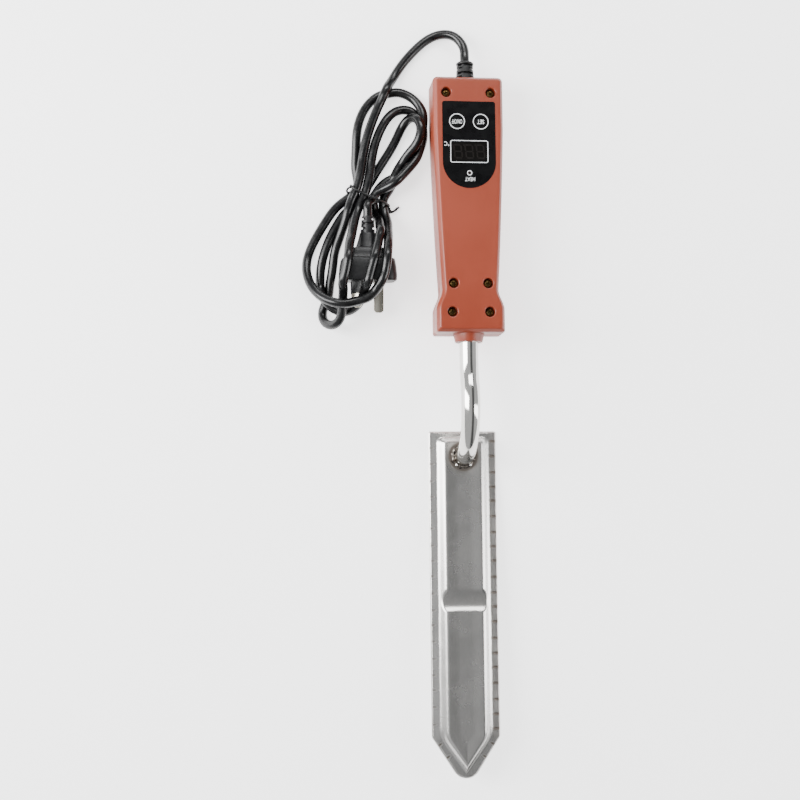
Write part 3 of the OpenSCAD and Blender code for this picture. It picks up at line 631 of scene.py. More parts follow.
low_third = [
    [-51.4, 144, 4.2], [-52.2, 137, 5], [-51.7, 130, 9.4], [-51, 121, 17.4], [-51, 111.5, 26],
    [-52, 102, 30.4], [-53.6, 92, 30.2], [-58, 83.3, 28.6], [-65.5, 77.2, 27.2], [-75, 73.7, 27],
    [-84.5, 73.6, 26.6], [-92.5, 77.3, 22], [-98.8, 84.6, 14.6], [-101.8, 94, 9], [-101, 104, 5],
    [-96.5, 115, 3.3], [-89.5, 127, 3], [-81, 138, 3],
]
high_third = [
    waist(-9.3, 3, 1), waist(-9.3, 3, 7), [-69.6, 160, 3], [-69.8, 172, 3], [-69.3, 184, 3],
    [-66.8, 195, 3], [-61.5, 204, 3], [-53.5, 210, 3], [-44.8, 212, 3.4], [-36.4, 210, 4.6],
    [-30, 204.6, 6.6], [-27.2, 196, 8.6], [-27, 186.5, 9.6], [-28, 177, 10.6], [-31.6, 168, 12.4],
    [-37.4, 160, 14.4], [-44.4, 153.2, 15], [-52, 148, 12.6],
]
to_plug = [waist(3.3, 9.4, 3), waist(2.6, 10.2, -2)]
to_plug += [PLUG_AT + p for p in ([0.6, 51, -1.4], [0, 46.8, -0.1], [0, 42, 0])]
ROUTE = lead + low_first + high_first + low_second + high_second + low_third + high_third + to_plug

# how the cord settles, in each round: pull to its route, stiffness, fall, and push where it touches itself
PULL, STIFFNESS, FALL, PUSH = 0.012, 0.04, 0.02, 0.22
GAP, MOST = 0.08, 0.5
# the strands under the tie: how far along and across from it, and below what height
TIED_ALONG, TIED_ACROSS, TIED_Z = 5, 16, 14


def unit(v):
    return v / (np.linalg.norm(v, axis=1)[:, None] + 1e-9)


def clear_plug(p):
    """How far points too near the plug have to move, up or sideways, to lie on it."""
    q, move = p - PLUG_AT, np.zeros_like(p)
    for wide, high, corner, start, end in PLUG_STEPS:
        ax, az = np.abs(q[:, 0]) - wide + corner, np.abs(q[:, 2]) - high + corner
        out = np.stack([np.maximum(ax, 0), np.maximum(az, 0)], -1)
        gap = np.linalg.norm(out, axis=1) - corner + np.minimum(np.maximum(ax, az), 0)
        beyond = np.maximum(start - q[:, 1], q[:, 1] - end)
        gap = np.where(beyond > 0, np.hypot(np.maximum(gap, 0), beyond), gap)
        need = np.maximum(CORD_R + 0.1 - gap, 0) / 2
        way = unit(out * np.sign(q[:, [0, 2]]) + [0, 1e-6])
        move[:, [0, 2]] += need[:, None] * way
    return move


def settle(points, spacing=2.0, rounds=300):
    """Let the cord's own stiffness and weight act on the route, and push apart whatever touches."""
    p = spline(points, spacing)
    start, count = p.copy(), len(p)
    free = np.ones((count, 1), bool)
    free[:3] = free[-5:] = False
    loose = free[:, 0]
    touch = 2 * CORD_R + GAP
    first, second = np.triu_indices(count, int(14 / spacing))
    across, along = (start - TIE_AT) @ ACROSS, (start - TIE_AT) @ ALONG
    tied = (np.abs(along) < TIED_ALONG) & (np.abs(across) < TIED_ACROSS) & (start[:, 2] < TIED_Z)
    for k in range(rounds):
        bend = np.zeros_like(p)
        bend[2:-2] = p[:-4] - 4 * p[1:-3] + 6 * p[2:-2] - 4 * p[3:-1] + p[4:]
        p = p + free * (PULL * (start - p) - STIFFNESS * bend - [0, 0, FALL])
        if k % 10 == 0:
            close = (np.abs(p[first] - p[second]) < touch + 3).all(1)
            i, j = first[close], second[close]
        for _ in range(2):
            apart = p[i] - p[j]
            gap = np.linalg.norm(apart, axis=1)
            push = apart * (PUSH * np.maximum(touch - gap, 0) / gap)[:, None]
            force = np.zeros_like(p)
            np.add.at(force, i, push)
            np.add.at(force, j, -push)
            p = p + free * np.clip(force, -MOST, MOST)
        p = p + free * clear_plug(p)
        p[tied] += 0.1 * (start[tied] - p[tied])
        p[:, 2] = np.where(loose, np.maximum(p[:, 2], CORD_R), p[:, 2])
        beside = loose & (p[:, 1] > HANDLE_FROM) & (p[:, 1] < HANDLE_TO)
        p[:, 0] = np.where(beside, np.minimum(p[:, 0], HANDLE_SIDE), p[:, 0])
        # slide the points along the cord to keep them evenly spaced
        even, tangent = np.zeros_like(p), np.zeros_like(p)
        even[1:-1] = (p[2:] + p[:-2]) / 2 - p[1:-1]
        tangent[1:-1] = p[2:] - p[:-2]
        tangent = unit(tangent)
        p = p + free * 0.5 * (even * tangent).sum(1)[:, None] * tangent
    return p


def lay_cord(path):
    """A round curve along the path, in the cord's finish, in place of the CAD cord and hank."""
    curve = bpy.data.curves.new("mains_cord", "CURVE")
    curve.dimensions = "3D"
    line = curve.splines.new("POLY")
    line.points.add(len(path) - 1)
    line.points.foreach_set("co", np.hstack([path * MM, np.ones((len(path), 1))]).ravel())
    line.use_smooth = True
    curve.bevel_depth = CORD_R * MM
    curve.bevel_resolution = 7
    curve.use_fill_caps = True
    curve.materials.append(finishes["cord_pvc"])
    return placed("mains_cord", curve)


settled = settle(ROUTE)
route = spline(np.vstack([settled[:-1:2], settled[-1:]]), 2.0)
route[:, 2] = np.maximum(route[:, 2], CORD_R)
cord = lay_cord(route)
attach(cord, "knife")
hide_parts("cord", "cord_hank")

# ---- The tie: a wire bent once round the waist of the hank, its ends twisted together

WIRE_R, WIRE_Z, TWISTS = 0.7, 0.75, 3


def hank(p):
    """Millimetres across, along and above the hank, from the tie, to table metres."""
    p = np.asarray(p, float)
    return W(TIE_AT + p[..., :1] * ACROSS + p[..., 1:2] * ALONG + p[..., 2:] * [0, 0, 1])


def tie_loop():
    over = [(-12.9, 1.6, 8), (-13.4, 2.6, 10.4), (-11.4, 1.4, 12.6), (-7, 0.5, 13.3), (0, 0, 13.8)]
    over += [(6, -0.3, 14.0), (10.6, -0.2, 11.2), (13.5, 0, 7.8), (14.1, 0.3, 4.4), (11.6, 0.4, 1.0)]
    under = [(4, 0.2, 0.75), (-4, -0.2, 0.75), (-10.6, -0.6, 0.9), (-13.2, -1.2, 3.4), (-14.2, -1.6, 7)]
    under += [(-14.6, -0.6, 9.8), (-13.6, 1.0, 11.6), (-12.7, 2.2, 10.2)]
    path = spline(over + under, WIRE_R)
    path[:, 2] = np.maximum(path[:, 2], WIRE_Z)
    return path


def tie_tail(start):
    """One of the wire's two ends, which are twisted together and lead away beside the hank."""
    t = np.linspace(0, 1, 60)
    spin = t * 2 * math.pi * TWISTS + start
    x = 13.9 + t * 6.6 + 0.5 * np.cos(spin)
    y = -0.6 - 13 * t + 15 * t**2 + 0.6 * np.cos(spin)
    z = 5.4 - 3.6 * t + 0.6 * np.sin(spin)
    return np.stack([x, y, np.maximum(z, WIRE_Z)], -1)


tie = Solid().tube(tie_loop(), WIRE_R, hank, 12)
for start in (0, math.pi):
    tie.tube(tie_tail(start), WIRE_R, hank, 10)
dress(tie.build("wire_tie"), "tie_black", ["cord_tie"])

# ---- Strain relief: a tapered sleeve with a rim and alternating slots, its groove held in the shells

RELIEF_SLOTS, RELIEF_SLOT_W, RELIEF_SLOT_DEPTH = (2.2, 4.9, 8.1, 10.2), 1.3, 1.9
# inside the shells: a collar between these two places, then a narrower stretch in the opening
COLLAR_FROM, COLLAR_TO, COLLAR_R, NARROW_R = -7.6, -2.3, 6.2, 4.9


def slotted(radius, depth, rows, width, z, turn):
    """The radius at each angle: cut back in the rows, whose slots alternate a quarter turn."""
    out = np.full(len(turn), radius)
    for k, row in enumerate(rows):
        inside = smooth_step((width / 2 + 0.12 - abs(z - row)) / 0.24)
        angle = np.cos(2 * (turn - (math.pi / 2 if k % 2 else 0)))
        out = out - depth * inside * smooth_step((angle + 0.62) / 0.2)
    return out


def relief_radius(s):
    """A slight taper, with a bead where it leaves the shells and a rolled rim at its end."""
    if s in (COLLAR_FROM, COLLAR_TO):
        return COLLAR_R
    if s < 0:
        return NARROW_R
    taper = 5.9 - 0.055 * s
    rim = 0.42 * math.exp(-(((s - 11.7) / 0.75) ** 2)) - 0.4 * smooth_step((s - 12.2) / 0.5)
    return taper + rim + 0.2 * math.exp(-((s - 0.4) ** 2) / 0.3)


def relief_rings():
    turn = around(96)
    rings = []
    inside = [COLLAR_FROM, COLLAR_TO, COLLAR_TO + 0.01, -0.05]
    for s in inside + list(np.arange(0, RELIEF_L, 0.15)) + [RELIEF_L]:
        r = slotted(relief_radius(s), RELIEF_SLOT_DEPTH, RELIEF_SLOTS, RELIEF_SLOT_W, s, turn)
        rings.append(hoop(r, turn, HANDLE_L + s))
    for r, s in ((4.6, RELIEF_L), (3.6, RELIEF_L + 0.05), (3.1, 12.4), (3.02, COLLAR_FROM)):
        rings.append(hoop(r, turn, HANDLE_L + s))
    return rings


relief = Solid().skin(relief_rings(), H, loop=True).build("strain_relief_sleeve")
dress(relief, "relief_rubber", ["strain_relief"], sharp=50)

# ---- Plug: a stepped moulding with a ribbed tail and three flat pins

# how far from the pins' face, then the width, the height and the corner radius there
PLUG_SECTIONS = (
    (0.0, 34.0, 24.5, 5), (0.25, 35.6, 26.1, 5.6), (1.0, 36.4, 26.9, 6), (4, 36.5, 27, 6), (9, 35.6, 26.4, 6),
    (13.2, 34.2, 25.2, 6), (14.3, 33.4, 24.4, 6), (14.8, 31.6, 22.8, 6), (15.0, 28.9, 20.4, 5.4),
    (15.3, 28.4, 19.9, 5), (18, 27.2, 19, 5), (20.4, 25.4, 18, 5), (21.2, 23.6, 17.2, 5),
    (21.5, 18.4, 15.6, 6), (22.2, 15.4, 14.8, 7), (26, 12.8, 12.8, 6.3), (30.6, 10.6, 10.6, 5.2),
    (31, 10.2, 10.2, 5),
)
GRIP_FROM, GRIP_PITCH, GRIP_HALF = 2.6, 2.3, 0.45
TAIL_FROM, TAIL_TO, TAIL_SLOTS = 31, 42, (34, 37, 40)
PIN_W, PIN_T = 6.35, 1.6
# the two slanted pins: how far off the middle, how far below it, and how long; and the upright one
SLANT, SLANT_OFF, SLANT_DOWN, SLANT_L = math.radians(30), 6.86, 7.16, 17
EARTH_OFF, EARTH_L = 7.11, 20


def plug(p):
    """Millimetres from the middle of the plug's pin face to table metres."""
    return W(PLUG_AT + np.asarray(p, float))


def plug_body():
    rings = [[(x, y, z) for x, z in rounded(w, h, r, 8)] for y, w, h, r in PLUG_SECTIONS]
    body = Solid().skin(rings, plug).build("plug_moulding")
    grip = Solid()
    for side in (-1, 1):
        for k in range(5):
            y0, y1 = GRIP_FROM + k * GRIP_PITCH - GRIP_HALF, GRIP_FROM + k * GRIP_PITCH + GRIP_HALF
            corners = ((y0, -6), (y1, -6), (y1, 6), (y0, 6))
            grip.skin([[(side * x, y, z) for y, z in corners] for x in (17.3, 20)], plug)
    return cut(body, grip.build("grip"))


def plug_tail():
    turn = around(64)
    rings = []
    for y in [TAIL_FROM - 0.5] + list(np.arange(TAIL_FROM, TAIL_TO + 0.01, 0.2)):
        taper = 4.75 - 0.09 * (y - TAIL_FROM)
        r = np.minimum(slotted(taper, 1.3, TAIL_SLOTS, 1.2, y, turn), taper) - (0.5 if y > 41.7 else 0)
        rings.append(hoop(r, turn, y))
    return Solid().skin(rings, plug).build("plug_bend_relief")


def blade_pin(name, length, place):
    """A flat pin, rounded off towards its tip."""
    steps = ((0, 0, 0), (length - 1.6, 0, 0), (length - 0.9, 0.1, 0.9))
    steps += ((length - 0.25, 0.5, 2.4), (length, 0.95, 3.2))
    rings = [[(x, -y, z) for x, z in rounded(PIN_T - a, PIN_W - b, 0.35)] for y, a, b in steps]
    dress(Solid().skin(rings, place).build(name), "pin_metal", ["plug_" + name])


def slanted(side):
    """The place of a slanted pin on either side."""
    s, c = math.sin(-side * SLANT), math.cos(-side * SLANT)

    def place(p):
        p = np.asarray(p, float)
        x, y, z = p[..., 0], p[..., 1], p[..., 2]
        return plug(np.stack([-(SLANT_DOWN - x * s + z * c), y, side * SLANT_OFF + x * c + z * s], -1))

    return place


def upright(p):
    return plug(np.asarray(p, float)[..., [2, 1, 0]] + np.array([EARTH_OFF, 0, 0]))


def pin_sleeves():
    sleeves = Solid()
    steps = ((0, 0.05), (0, 0.8), (7.4, 0.6), (7.9, 0.35), (8, 0.05))
    for side in (-1, 1):
        rings = [[(x, -y, z) for x, z in rounded(PIN_T + a, PIN_W + a, 0.5)] for y, a in steps]
        sleeves.skin(rings, slanted(side), loop=True)
    return sleeves.build("pin_sleeves")


dress(plug_body(), "plug_pvc", ["plug_body"], sharp=30)
dress(plug_tail(), "plug_pvc", ["plug_tail"], sharp=50)
blade_pin("pin_live", SLANT_L, slanted(-1))
blade_pin("pin_neutral", SLANT_L, slanted(1))
blade_pin("pin_earth", EARTH_L, upright)
dress(pin_sleeves(), "sleeve_plastic", ["plug_pin_sleeves"])
ON_CORD = ["wire_tie", "plug_moulding", "plug_bend_relief"]
ON_CORD += ["pin_live", "pin_neutral", "pin_earth", "pin_sleeves"]

# ---- Blade: a flat plate and the pressed cover spot-welded on it

BLADE_L, HALF_W, TIP_R, SHOULDER_R, HEEL_R = 223.0, 22.25, 9.3, 4.0, 1.5
SN, CS = math.sin(math.radians(33)), math.cos(math.radians(33))
TIP_Y = -(BLADE_L - TIP_R)
EDGE_LINE = (BLADE_L - TIP_R) * SN + TIP_R
SHOULDER_Y = -(EDGE_LINE - SHOULDER_R - (HALF_W - SHOULDER_R) * CS) / SN
# where the rows of the mesh start to follow the round tip
ROUND_Y = -218.5
COVER_INSET, COVER_T, FLANGE_Z, TOP_Z, RIM_Z = 0.5, 0.6, 1.4, 5.0, 0.86
# the channel's foot and top: half width, rear end, apex and corner softness; and where both start to taper
FOOT, TOP, TAPER_Y = (16.4, 4.2, 219.0, 4.0), (12.5, 6.7, 215.0, 2.0), 196.5
GROOVE_Y, GROOVE_L, GROOVE_D = -109.8, 6.7, 2.2
GROOVE_R = (GROOVE_L**2 + GROOVE_D**2) / (2 * GROOVE_D)
TUBE_Y, TUBE_R = -16.6, 6.0
SAG = 0.36


def half_chord(r, d):
    """Half the chord of a circle of radius r at a distance d from its middle, or nothing outside it."""
    return np.sqrt(np.maximum(r**2 - d**2, 0))


def half_outline(y, inset):
    """Half the blade's width at y, for an outline moved in by inset."""
    w, r, shoulder_r = HALF_W - inset, TIP_R - inset, SHOULDER_R - inset
    heel = HEEL_R - 0.4 * inset
    q = np.clip(heel + y + inset, 0, heel)
    x = np.where(y > -inset - heel, w - heel + half_chord(heel, q), np.full_like(y, w))
    slant = (EDGE_LINE - inset + y * SN) / CS
    shoulder = HALF_W - SHOULDER_R + half_chord(shoulder_r, y - SHOULDER_Y)
    x = np.where(y < SHOULDER_Y, np.where(y < SHOULDER_Y - shoulder_r * SN, slant, shoulder), x)
    return np.where(y < TIP_Y - r * SN, half_chord(r, y - TIP_Y), x)


def edge_depth(x, y):
    """How far inside the blade's outline a point is."""
    ax = np.abs(x)
    slant = EDGE_LINE - (ax * CS - y * SN)
    round_tip = TIP_R - np.hypot(ax, y - TIP_Y)
    in_tip = (y < TIP_Y) & (ax * SN < (TIP_Y - y) * CS)
    return np.where(in_tip, round_tip, np.minimum(np.minimum(HALF_W - ax, -y), slant))


def plan_depth(x, y, w, rear, apex, k):
    """How far inside the channel's foot or top outline a point is, its corners softened by k."""
    run = apex - TAPER_Y
    size = math.hypot(run, w)
    slant = -((np.abs(x)) * run / size + (y + apex) * -w / size)
    return smooth_min(smooth_min(w - np.abs(x), -rear - y, k), slant, k)


def cover_height(x, y):
    """The cover's upper face: a flat flange, the raised channel and the groove across it."""
    foot, top = plan_depth(x, y, *FOOT), -plan_depth(x, y, *TOP)
    t = foot / np.maximum(foot + top, 1.2)
    t = -smooth_min(-smooth_min(t, 1.0, 0.34), 0.0, 0.34)
    channel = FLANGE_Z + (TOP_Z - FLANGE_Z) * t
    dy = np.minimum(np.abs(y - GROOVE_Y), GROOVE_R * 0.95)
    groove = TOP_Z + GROOVE_R - GROOVE_D - half_chord(GROOVE_R, dy)
    # a faint hollow along the middle, as thin sheet takes when it is pressed
    hollow = 0.18 * smooth_step(top * -1 / 9) * (1 + 0.25 * np.sin(y / 17))
    return np.maximum(smooth_min(channel - hollow, groove, 0.9), FLANGE_Z)


def weld_spots():
    """Where the two sheets are spot-welded: along both edges and round the tip."""
    spots = []
    for side, first, pitch, inset, force in ((1, -6.6, 9.75, 2.6, 1.0), (-1, -11.0, 10.4, 1.9, 0.55)):
        y, k = first, 0
        while y > -192:
            spots.append((side * (HALF_W - inset - 0.3 * math.sin(k * 2.1)), y, 0.0, force))
            y -= pitch + 0.8 * math.sin(k * 1.7)
            k += 1
    for side in (-1, 1):
        for d in (6.0, 15.5):
            at = np.array([side * HALF_W, -197.5]) + d * np.array([-side * SN, -CS])
            spots.append((at[0] - side * 2.4 * CS, at[1] + 2.4 * SN, -side * 33.0, 0.8))
    return spots


def spots_field(x, y):
    """The dents of the weld spots and the heat tint round them."""
    dent, tint_and_shade = np.zeros_like(x), np.zeros_like(x)
    for sx, sy, turn, force in weld_spots():
        c, s = math.cos(math.radians(turn)), math.sin(math.radians(turn))
        near = (np.abs(x - sx) < 5) & (np.abs(y - sy) < 4)
        dx, dy = x[near] - sx, y[near] - sy
        u, v = dx * c + dy * s, dy * c - dx * s
        d = (u / 1.55) ** 2 + (v / 0.62) ** 2
        dent[near] += force * (0.17 * np.exp(-d * d) - 0.05 * np.exp(-((d - 1.7) ** 2)))
        tint_and_shade[near] += force * (np.exp(-d * 0.8) + 0.25 * np.exp(-((u / 2.6) ** 2 + (v / 1.6) ** 2)))
    return dent, tint_and_shade


def steps(*parts):
    """Values from part to part, each given as its two ends and its step."""
    out = []
    for a, b, step in parts:
        out += list(np.linspace(a, b, max(2, int(round(abs(b - a) / step)) + 1))[:-1])
    return out + [parts[-1][1]]


def plate_grid(inset, fine):
    """Rows down the blade and columns across it, close together near the edges."""
    heel, r = (-inset, -inset - 1.8, 0.15), TIP_R - inset
    rows = steps(heel, (-1.8 - inset, -9, fine), (-9, -190, fine), (-190, ROUND_Y, fine))
    start = math.asin(min(1.0, (TIP_Y - ROUND_Y) / r))
    rows += [TIP_Y - r * math.sin(a) for a in np.linspace(start, math.pi / 2, 26)[1:]]
    f = 1 - np.array(steps((0, 1.6, 0.16), (1.6, 4.6, 0.27), (4.6, 10.5, 0.3), (10.5, 22, 0.45))) / 22.0
    f = np.concatenate([f, -f[:-1][::-1]])
    y = np.array(rows)[:, None] + 0 * f[None]
    return half_outline(y, inset) * f[None], y


def sheet_solid(name, x, y, low, high, tint_and_shade):
    """A closed plate between two height fields on one grid, with its heat tint and painted shade."""
    rows, cols = x.shape
    n = rows * cols
    verts = np.vstack([K(np.stack([x, y, z], -1).reshape(-1, 3)) for z in (high, low)])
    at = np.arange(n).reshape(rows, cols)
    quads = np.stack([at[:-1, :-1], at[1:, :-1], at[1:, 1:], at[:-1, 1:]], -1).reshape(-1, 4)
    rim = list(at[0]) + list(at[1:, -1]) + list(at[-1, ::-1][1:]) + list(at[::-1, 0][1:-1])
    faces = quads.tolist() + (quads[:, ::-1] + n).tolist()
    faces += [(int(p), int(q), int(q) + n, int(p) + n) for p, q in zip(rim, rim[1:] + rim[:1])]
    tint = np.concatenate([tint_and_shade.ravel(), tint_and_shade.ravel() * 0.3]).astype(np.float32)
    return new_object(name, verts, faces, tint)


def blade_sheet():
    """The flat rear sheet, ground to an edge all round."""
    x, y = plate_grid(0.0, 1.0)
    edge = 0.28
    bevel = edge + (PLATE_T - edge) * smooth_step(edge_depth(x, y) / 0.55)
    return sheet_solid("blade_sheet", x, y, np.zeros_like(x), bevel, np.zeros_like(x))


def flange_faults(x, y, d):
    """How thin sheet between weld spots lies: a ripple along it and a sag outside the channel."""
    ripple = 0.035 * np.sin(y / 6.1 + 1.3 * np.sin(y / 23))
    ripple = ripple * smooth_step((d - 0.6) / 2) * smooth_step((6.5 - d) / 2)
    return ripple - SAG * smooth_step((np.abs(x) - FOOT[0]) / 5.6) * smooth_step((y + 206) / 14)


def blade_cover():
    """The pressed cover, pinched and tinted round the neck, with its rim ground down and painted shade along
    its right flange.
    """
    x, y = plate_grid(COVER_INSET, 0.36)
    d = edge_depth(x, y) - COVER_INSET
    dent, tint_and_shade = spots_field(x, y)
    high = cover_height(x, y)
    rim = RIM_Z + (FLANGE_Z - RIM_Z) * smooth_step(d / 0.9) + np.maximum(high - FLANGE_Z, 0)
    high = np.minimum(high + flange_faults(x, y, d), rim) - dent * smooth_step(d / 0.5)
    from_tube = np.hypot(x, y - TUBE_Y)
    high = high - 0.5 * np.exp(-((from_tube / 9.5) ** 4))
    tint_and_shade = tint_and_shade + 1.15 * np.exp(-(((from_tube - 7.6) / 2.1) ** 2))
    tint_and_shade += 0.3 * np.exp(-(((from_tube - 10.5) / 3.0) ** 2))
    tint_and_shade += 0.22 * smooth_step((1.2 - d) / 1.2)
    # painted shade: a darker strip along the right flange, standing in for the dark reflection it shows
    tint_and_shade += 0.34 * smooth_step((x - 16.2) / 2.0) * smooth_step((y + 214) / 18)
    high = np.maximum(high, 0.83)
    low = np.maximum(high - COVER_T, PLATE_T + 0.002)
    cover = sheet_solid("blade_cover", x, y, low, np.maximum(high, low + 0.02), tint_and_shade)
    bore = Solid().lathe([(TUBE_R + 0.03, -3), (TUBE_R + 0.03, 12)], [0, TUBE_Y, 0], K, sides=64)
    return cut(cover, bore.build("bore"))


dress(blade_sheet(), "blade_steel", ["blade_plate"], sharp=45)
dress(blade_cover(), "blade_steel", ["channel_cover"], sharp=55)

# ---- Neck: the bent tube and the weld that holds it

ARCH_R, STUB_Z, COUNTER_R, SWEEP = 32.0, 8.4, 40.0, 110
NECK_SIDES, WELD_R, WELD_Z = 64, 5.85, 4.55


def neck_path():
    """Up out of the blade, over an arch, through a counter-bend and along the handle's axis."""
    path = [(0, TUBE_Y, 4.4), (0, TUBE_Y, 6.4), (0, TUBE_Y, STUB_Z)]
    path += [(0, y, z) for y, z in arc(TUBE_Y + ARCH_R, STUB_Z, ARCH_R, range(178, 179 - SWEEP, -2))]
    dip = math.radians(SWEEP - 90)
    py, pz = path[-1][1] + 2 * math.cos(dip), path[-1][2] - 2 * math.sin(dip)
    for k in range(11):
        a = dip - dip * k / 10
        y, z = py + COUNTER_R * (math.sin(dip) - math.sin(a)), pz - COUNTER_R * (math.cos(a) - math.cos(dip))
        path.append((0, y, z))
    path.append((0, path[-1][1] + 2, AXIS_Z))
    path += [(0, HANDLE_Y + s, AXIS_Z) for s in (-6, 20, 44)]
    return np.array(path)


def neck_tube():
    """The tube with its wall, very slightly uneven where it was bent."""
    path = neck_path()
    wobble = 1 + 0.012 * np.cos(np.linspace(0, 9, len(path)))
    radius = TUBE_R * np.where(path[:, 1] < HANDLE_Y - 8, wobble * 0.995, 1.0)
    outer = Solid().tube(path, radius, K, NECK_SIDES, capped=False)
    inner = Solid().tube(path, TUBE_R - 1, K, NECK_SIDES, capped=False)
    n = len(outer.verts)
    outer.verts += inner.verts
    outer.faces += [tuple(i + n for i in face) for face in inner.faces]
    for first in (0, n - NECK_SIDES):
        outer.band(first, n + first, NECK_SIDES)
    return outer.build("neck_tube_bent")


def weld_bead():
    """A lumpy bead between tube and cover."""
    turn = around(120)
    lump = 0.32 * np.sin(turn * 13 + 0.9 * np.sin(turn * 3)) + 0.2 * np.sin(turn * 7 + 2)
    rings = []
    for k in range(13):
        a = math.pi * k / 12
        r = WELD_R + (2.2 + 0.9 * lump) * (1 - math.cos(a)) / 2
        rise = (1.35 + 0.45 * lump) * math.sin(a) ** 0.8 * (1 - 0.3 * k / 12)
        z = WELD_Z + rise + 0.6 * (1 - k / 12) * math.sin(a) - 0.35 * (k == 12)
        rings.append((r, z))
    rings.append((WELD_R, np.full(120, 4.0)))
    rings = [np.stack([r * np.cos(turn), TUBE_Y + r * np.sin(turn), z], -1) for r, z in rings]
    return Solid().skin(rings, K, loop=True).build("neck_weld_bead")


def weld_tacks():
    """Two bright beads of spatter on the weld."""
    beads = Solid()
    bead = [(0.02, -0.5), (0.7, -0.35), (0.95, 0.1), (0.8, 0.5), (0.45, 0.75), (0.02, 0.85)]
    for x, y in arc(0, 0, 7.3, (-128, -52)):
        beads.lathe(bead, (x, TUBE_Y + y, 5.6), K, sides=20)
    return beads.build("weld_tacks")


dress(neck_tube(), "tube_steel", ["neck_tube"], sharp=50)
dress(weld_bead(), "weld_metal", ["neck_weld"], sharp=60)
dress(weld_tacks(), "weld_metal", finish="weld_bright")

# ---- Handle: two moulded shells, cut for their screws, the panel, the neck and the strain relief

FLARE_W, WAIST_W, FULL_W = 21.75, 18.0, 22.5
FLARE_END, WAIST_S, FULL_S = 14.5, 27, 130
NECK_CORNER, CORD_CORNER = 1.4, 3.0
# how far the skin is moved in at each height above the parting plane, outside and then inside
LEVELS = [
    (3.8, 14.0), (3.1, 14.0), (2.55, 13.97), (2.15, 13.83), (1.85, 13.55), (1.55, 13.15), (0.75, 12.0),
    (0.4, 11.45), (0.16, 10.8), (0.03, 9.9), (0, 9), (0, 0.4), (0.08, 0.16), (0.28, 0.06), (0.28, 0.0),
]
INNER = [(2.2, 0.0), (2.2, 10.2), (2.5, 11.1), (3.3, 11.6)]
SCREWS = [(side * x, s) for side in (-1, 1) for x, s in ((14.25, 153.5), (10.95, 30.8), (11.85, 12.6))]
POST_R, POST_TOP, SEAT_Z = 4.6, 12.6, 10.0
COUNTERBORE = [(1.6, -1), (1.6, SEAT_Z), (3.2, SEAT_Z)]
COUNTERBORE += [(3.2, 13.45), (3.28, 13.75), (3.5, 13.93), (3.8, 14.0), (3.8, 15)]
PILOT = [(1.35, -1), (1.35, 10.5)]
NOSE = ((0.6, 9.95), (-0.15, 9.9), (-3.9, 9.0), (-4.75, 8.75), (-5.1, 8.3))
PANEL_R, PANEL_S, PANEL_END, PANEL_CORNER = 17, 108.5, 147.7, 1.5
ALONG_HANDLE = (0, 1, 0)


def half_width(s):
    """Half the handle's width: flared at the blade's end, narrow at the waist, then slowly widening."""
    if s < FLARE_END:
        return FLARE_W
    if s < WAIST_S:
        return FLARE_W - (FLARE_W - WAIST_W) * float(smooth_step((s - FLARE_END) / (WAIST_S - FLARE_END)))
    if s < FULL_S:
        u = (s - WAIST_S) / (FULL_S - WAIST_S)
        return WAIST_W + (FULL_W - WAIST_W) * u * (1.35 - 0.35 * u)
    return FULL_W


def handle_ring(inset, z):
    """The handle's outline, moved in by inset, as a ring at height z."""
    side = arc(FLARE_W - inset - NECK_CORNER, inset + NECK_CORNER, NECK_CORNER, (-90, -68, -45, -22, 0))
    stations = list(range(5, 15, 3)) + list(np.arange(FLARE_END, 30, 1.25)) + list(range(31, 160, 4))
    side += [(half_width(s) - inset, s) for s in stations]
    r = CORD_CORNER - min(inset, 2.2) * 0.6
    side += arc(FULL_W - inset - r, HANDLE_L - inset - r, r, range(0, 91, 15))
    return [(x, s, z) for x, s in side] + [(-x, s, z) for x, s in side[::-1]]


def panel_ring(inset, z):
    """The display panel's outline: a half circle towards the blade and small corners at the other end."""
    r, end = PANEL_R - inset, PANEL_END - inset
    out = arc(0, PANEL_S, r, np.linspace(180, 360, 32))
    for side, start in ((1, 0), (-1, 90)):
        out += arc(side * (r - PANEL_CORNER), end - PANEL_CORNER, PANEL_CORNER, range(start, start + 91, 18))
    return [(x, s, z) for x, s in out]


def shell(name, flip):
    """One half: the outer skin and the hollow inside it, then its posts, openings and counterbores."""

    def place(p):
        return H(np.asarray(p, float) * np.array([1, 1, flip]))

    def bores(profile, sides):
        out = Solid()
        for x, s in SCREWS:
            out.lathe(profile, (x, s, 0), place, sides=sides)
        return out

    ob = Solid().skin([handle_ring(i, z) for i, z in LEVELS + INNER], place).build(name)
    cut(ob, bores([(POST_R, 0.02), (POST_R, POST_TOP)], 32).build("posts"), how="UNION")
    half = [math.pi * k / 40 for k in range(41)]
    nose = [[(r * math.cos(a), s, r * math.sin(a) + 0.03) for a in half] for s, r in NOSE]
    cut(ob, Solid().skin(nose, place).build("nose"), how="UNION")
    ends = Solid().lathe([(TUBE_R + 0.04, -8), (TUBE_R + 0.04, 4)], (0, 0, 0), place, ALONG_HANDLE, 64)
    ends.lathe([(COLLAR_R + 0.1, -4.5), (COLLAR_R + 0.1, -2.2)], (0, HANDLE_L, 0), place, ALONG_HANDLE, 64)
    cut(ob, ends.build("ends"))
    opening = Solid().lathe([(5.0, -8), (5.0, 4)], (0, HANDLE_L, 0), place, ALONG_HANDLE, 64)
    cut(ob, opening.build("relief_hole"))
    if flip < 0:
        return cut(ob, bores(PILOT, 24).build("holes"))
    cut(ob, bores(COUNTERBORE, 48).build("holes"))
    return cut(ob, Solid().skin([panel_ring(0, 13.5), panel_ring(-0.02, 15)], place).build("recess"))


